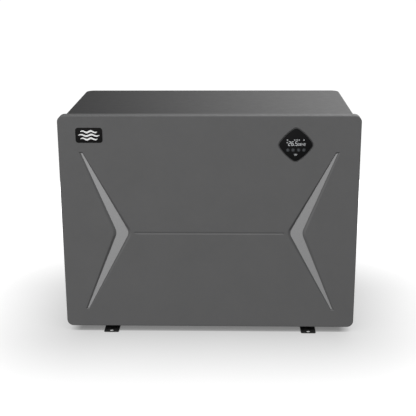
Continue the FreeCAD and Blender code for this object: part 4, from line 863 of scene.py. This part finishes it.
# The width of each node's bevel, in millimetres.
BEVELS = {
    "right_side_panel": 0.5, "rear_panel": 0.5, "terminal_hatch": 0.8, "base_tray": 0.4,
    "front_frame": 0.4, "foot_rail_left": 0.6, "foot_rail_right": 0.6, "outlet_grille_left": 0.35,
    "outlet_grille_right": 0.35, "rear_guard": 0.5, "left_guard": 0.5, "inlet_union_nut": 0.6,
    "outlet_union_nut": 0.6, "union_tails": 0.5, "cable_glands": 0.4, "flow_switch": 0.8,
    "fan_nut": 0.4, "control_board": 0.3,
}


def dress_cad_nodes():
    """Give each CAD node its slot's material, and the visible ones softer edges."""
    for node, obj in frame["nodes"].items():
        obj.data.materials.clear()
        obj.data.materials.append(MATERIALS[SLOT_OF[node]])
    frame["nodes"]["gauge_needle"].data.materials[0] = PRINT_RED
    for node, width in BEVELS.items():
        obj = frame["nodes"][node]
        weld = obj.modifiers.new("weld", "WELD")
        weld.merge_threshold = 0.002 * MM
        bevel = obj.modifiers.new("bevel", "BEVEL")
        bevel.width = width * MM
        bevel.segments = 2
        bevel.limit_method = "ANGLE"
        bevel.angle_limit = math.radians(40)
        bevel.use_clamp_overlap = True
        weighted(obj)


# ---------------------------------------------------------------- stage, light and camera

FLOOR_RADIUS = 1.7
SURROUND_RADIUS = 8.5

# The floor's emission paints its shadows: a painted shadow under the unit, and painted shade around it
# that fades away from it. Each area is a middle, a half size and the weight of a distance outside it in
# each direction. Each glow runs from its first level to its second as that distance grows.
# Painted shadow under the unit's footprint, with a sharp edge in front.
PAINTED_SHADOW_AREA = ((0, 0, 0), (0.395, 0.23, 0), (0.1, 1, 1))
PAINTED_SHADOW_GLOW = (0.185, 2.0)
PAINTED_SHADOW_EDGE = 0.02
# Painted shade around the unit, brightening towards the floor's rim.
PAINTED_SHADE_AREA = ((0, -0.08, 0), (0.36, 0.15, 0), (1, 1, 1))
PAINTED_SHADE_GLOW = (0.415, 1.80)
PAINTED_SHADE_EDGE = FLOOR_RADIUS - 0.36


def distance_outside(shade, middle, half_size, weight):
    """How far a point of the floor lies outside a rectangle, with a weight for each direction."""
    distance = shade.place
    steps = (("SUBTRACT", middle), ("ABSOLUTE", None), ("SUBTRACT", half_size), ("MAXIMUM", (0, 0, 0)),
             ("MULTIPLY", weight), ("LENGTH", None))
    for operation, other in steps:
        step = shade.nodes.new("ShaderNodeVectorMath")
        step.operation = operation
        shade.links.new(distance, step.inputs[0])
        if other:
            step.inputs[1].default_value = other
        distance = step.outputs["Value" if operation == "LENGTH" else "Vector"]
    return distance


def hide_from(obj, *rays):
    """Make an object invisible to some kinds of light rays."""
    for kind in rays:
        setattr(obj, f"visible_{kind}", False)


def make_floor():
    """A pale floor whose emission paints its shadows: darker under the unit as a painted shadow, with
    painted shade near the unit that brightens away from it.
    """
    mesh = bpy.data.meshes.new("floor")
    mesh.from_pydata([(*point, 0) for point in circle((0, 0), FLOOR_RADIUS, 96)], [], [range(96)])
    floor = linked("floor", mesh)
    shade = Shade("studio_floor_painted_shadow", grey(0.2), 0.8, Specular_IOR_Level=0.1, Emission_Color=(1, 1, 1, 1))
    shade.tint(shade.spread(shade.noise(3, 3), 0, 1), grey(0.21))
    # Painted shade near the unit, drawn in the floor's emission.
    around = shade.spread(distance_outside(shade, *PAINTED_SHADE_AREA), *PAINTED_SHADE_GLOW, 0, PAINTED_SHADE_EDGE)
    # Painted shadow under the unit, drawn in the floor's emission.
    under = shade.spread(distance_outside(shade, *PAINTED_SHADOW_AREA), *PAINTED_SHADOW_GLOW, 0, PAINTED_SHADOW_EDGE)
    # The darker of the two painted shades sets the floor's emission.
    glow = shade.nodes.new("ShaderNodeMath")
    glow.operation = "MINIMUM"
    for socket, level in zip(glow.inputs, (around, under)):
        shade.links.new(level, socket)
    shade.links.new(glow.outputs["Value"], shade.shader.inputs["Emission Strength"])
    mesh.materials.append(shade.material)
    hide_from(floor, "diffuse", "glossy")


def make_surround():
    """A white ball around the scene, which only the camera sees."""
    mesh = bpy.data.meshes.new("surround")
    work = bmesh.new()
    bmesh.ops.create_icosphere(work, subdivisions=4, radius=SURROUND_RADIUS)
    work.to_mesh(mesh)
    work.free()
    surround = linked("surround", mesh)
    white = bpy.data.materials.new("studio_white")
    white.use_nodes = True
    shader = white.node_tree.nodes["Principled BSDF"]
    shader.inputs["Base Color"].default_value = (0, 0, 0, 1)
    shader.inputs["Specular IOR Level"].default_value = 0
    shader.inputs["Emission Color"].default_value = (1, 1, 1, 1)
    shader.inputs["Emission Strength"].default_value = 1.05
    mesh.materials.append(white)
    hide_from(surround, "diffuse", "glossy", "transmission", "volume_scatter", "shadow")


KEY_AXIS = (-0.34, -0.80, 0.47)
KEY_LEVELS = (0.03, 1.45)
SKY_LEVEL = 0.7
CARD_LEVEL = 1.87


def make_world():
    """Soft light from the front, above and slightly left, and a wide graded card behind."""
    world = bpy.data.worlds.new("studio")
    bpy.context.scene.world = world
    world.use_nodes = True
    nodes, links = world.node_tree.nodes, world.node_tree.links
    way = nodes.new("ShaderNodeTexCoord").outputs["Generated"]
    split = nodes.new("ShaderNodeSeparateXYZ")
    links.new(way, split.inputs["Vector"])
    aim = nodes.new("ShaderNodeVectorMath")
    aim.operation = "DOT_PRODUCT"
    aim.inputs[1].default_value = Vector(KEY_AXIS).normalized()
    links.new(way, aim.inputs[0])

    def ramp(value, start, end, first, last, shape="SMOOTHSTEP"):
        """A level that runs from first to last while a value runs from start to end."""
        level = nodes.new("ShaderNodeMapRange")
        level.interpolation_type = shape
        limits = (("From Min", start), ("From Max", end), ("To Min", first), ("To Max", last))
        for socket, number in limits:
            level.inputs[socket].default_value = number
        links.new(value, level.inputs["Value"])
        return level.outputs["Result"]

    def joined(operation, *values):
        """The sum or the product of several levels."""
        total = values[0]
        for value in values[1:]:
            node = nodes.new("ShaderNodeMath")
            node.operation = operation
            links.new(total, node.inputs[0])
            links.new(value, node.inputs[1])
            total = node.outputs["Value"]
        return total

    x, y, z = (split.outputs[axis] for axis in "XYZ")
    card = joined("MULTIPLY", ramp(x, -0.185, 0.27, 0, CARD_LEVEL, "LINEAR"),
                  ramp(x, -0.165, 0.27, 0.66, 1), ramp(y, 0.5, 0.85, 0, 1), ramp(z, -0.05, 0.08, 0, 1))
    key = ramp(aim.outputs["Value"], 0.05, 0.95, *KEY_LEVELS)
    sky = ramp(z, 0.5, 1.0, 0, SKY_LEVEL)
    background = nodes["Background"]
    background.inputs["Color"].default_value = (1, 1, 1, 1)
    links.new(joined("ADD", key, sky, card), background.inputs["Strength"])


def make_softbox():
    """One wide soft light overhead."""
    at, target = Vector((0.7, -0.3, 3.0)), Vector((0.1, 0, 0.2))
    light = bpy.data.lights.new("overhead", "AREA")
    light.shape = "RECTANGLE"
    light.size = 2.4
    light.size_y = 2.4
    light.energy = 30
    obj = linked("overhead", light)
    obj.location = at
    obj.rotation_euler = (target - at).to_track_quat("-Z", "Y").to_euler()


CAMERA_PLACE = (0.0698, -2.797, 1.170)
CAMERA_ANGLES = (-1.63, 16.845, -0.30)
CAMERA_LENS = 79.1


def make_camera():
    """A long lens in front of the unit, slightly above it, looking down."""
    camera = bpy.data.cameras.new("camera")
    camera.lens = CAMERA_LENS
    camera.sensor_width = 36
    obj = linked("camera", camera)
    yaw, pitch, roll = (math.radians(angle) for angle in CAMERA_ANGLES)
    ahead = Vector((math.sin(yaw) * math.cos(pitch), math.cos(yaw) * math.cos(pitch), -math.sin(pitch)))
    level = Vector((math.cos(yaw), -math.sin(yaw), 0))
    rise = level.cross(ahead)
    right = level * math.cos(roll) + rise * math.sin(roll)
    up = rise * math.cos(roll) - level * math.sin(roll)
    turn = Matrix((right, up, -ahead)).transposed()
    obj.matrix_world = Matrix.Translation(CAMERA_PLACE) @ turn.to_4x4()
    bpy.context.scene.camera = obj


bpy.context.scene.view_settings.view_transform = "Standard"
make_front_shell()
make_chevrons()
make_badge()
make_display()
make_coil()
make_screws()
make_gauge_face()
dress_cad_nodes()
make_floor()
make_surround()
make_world()
make_softbox()
make_camera()
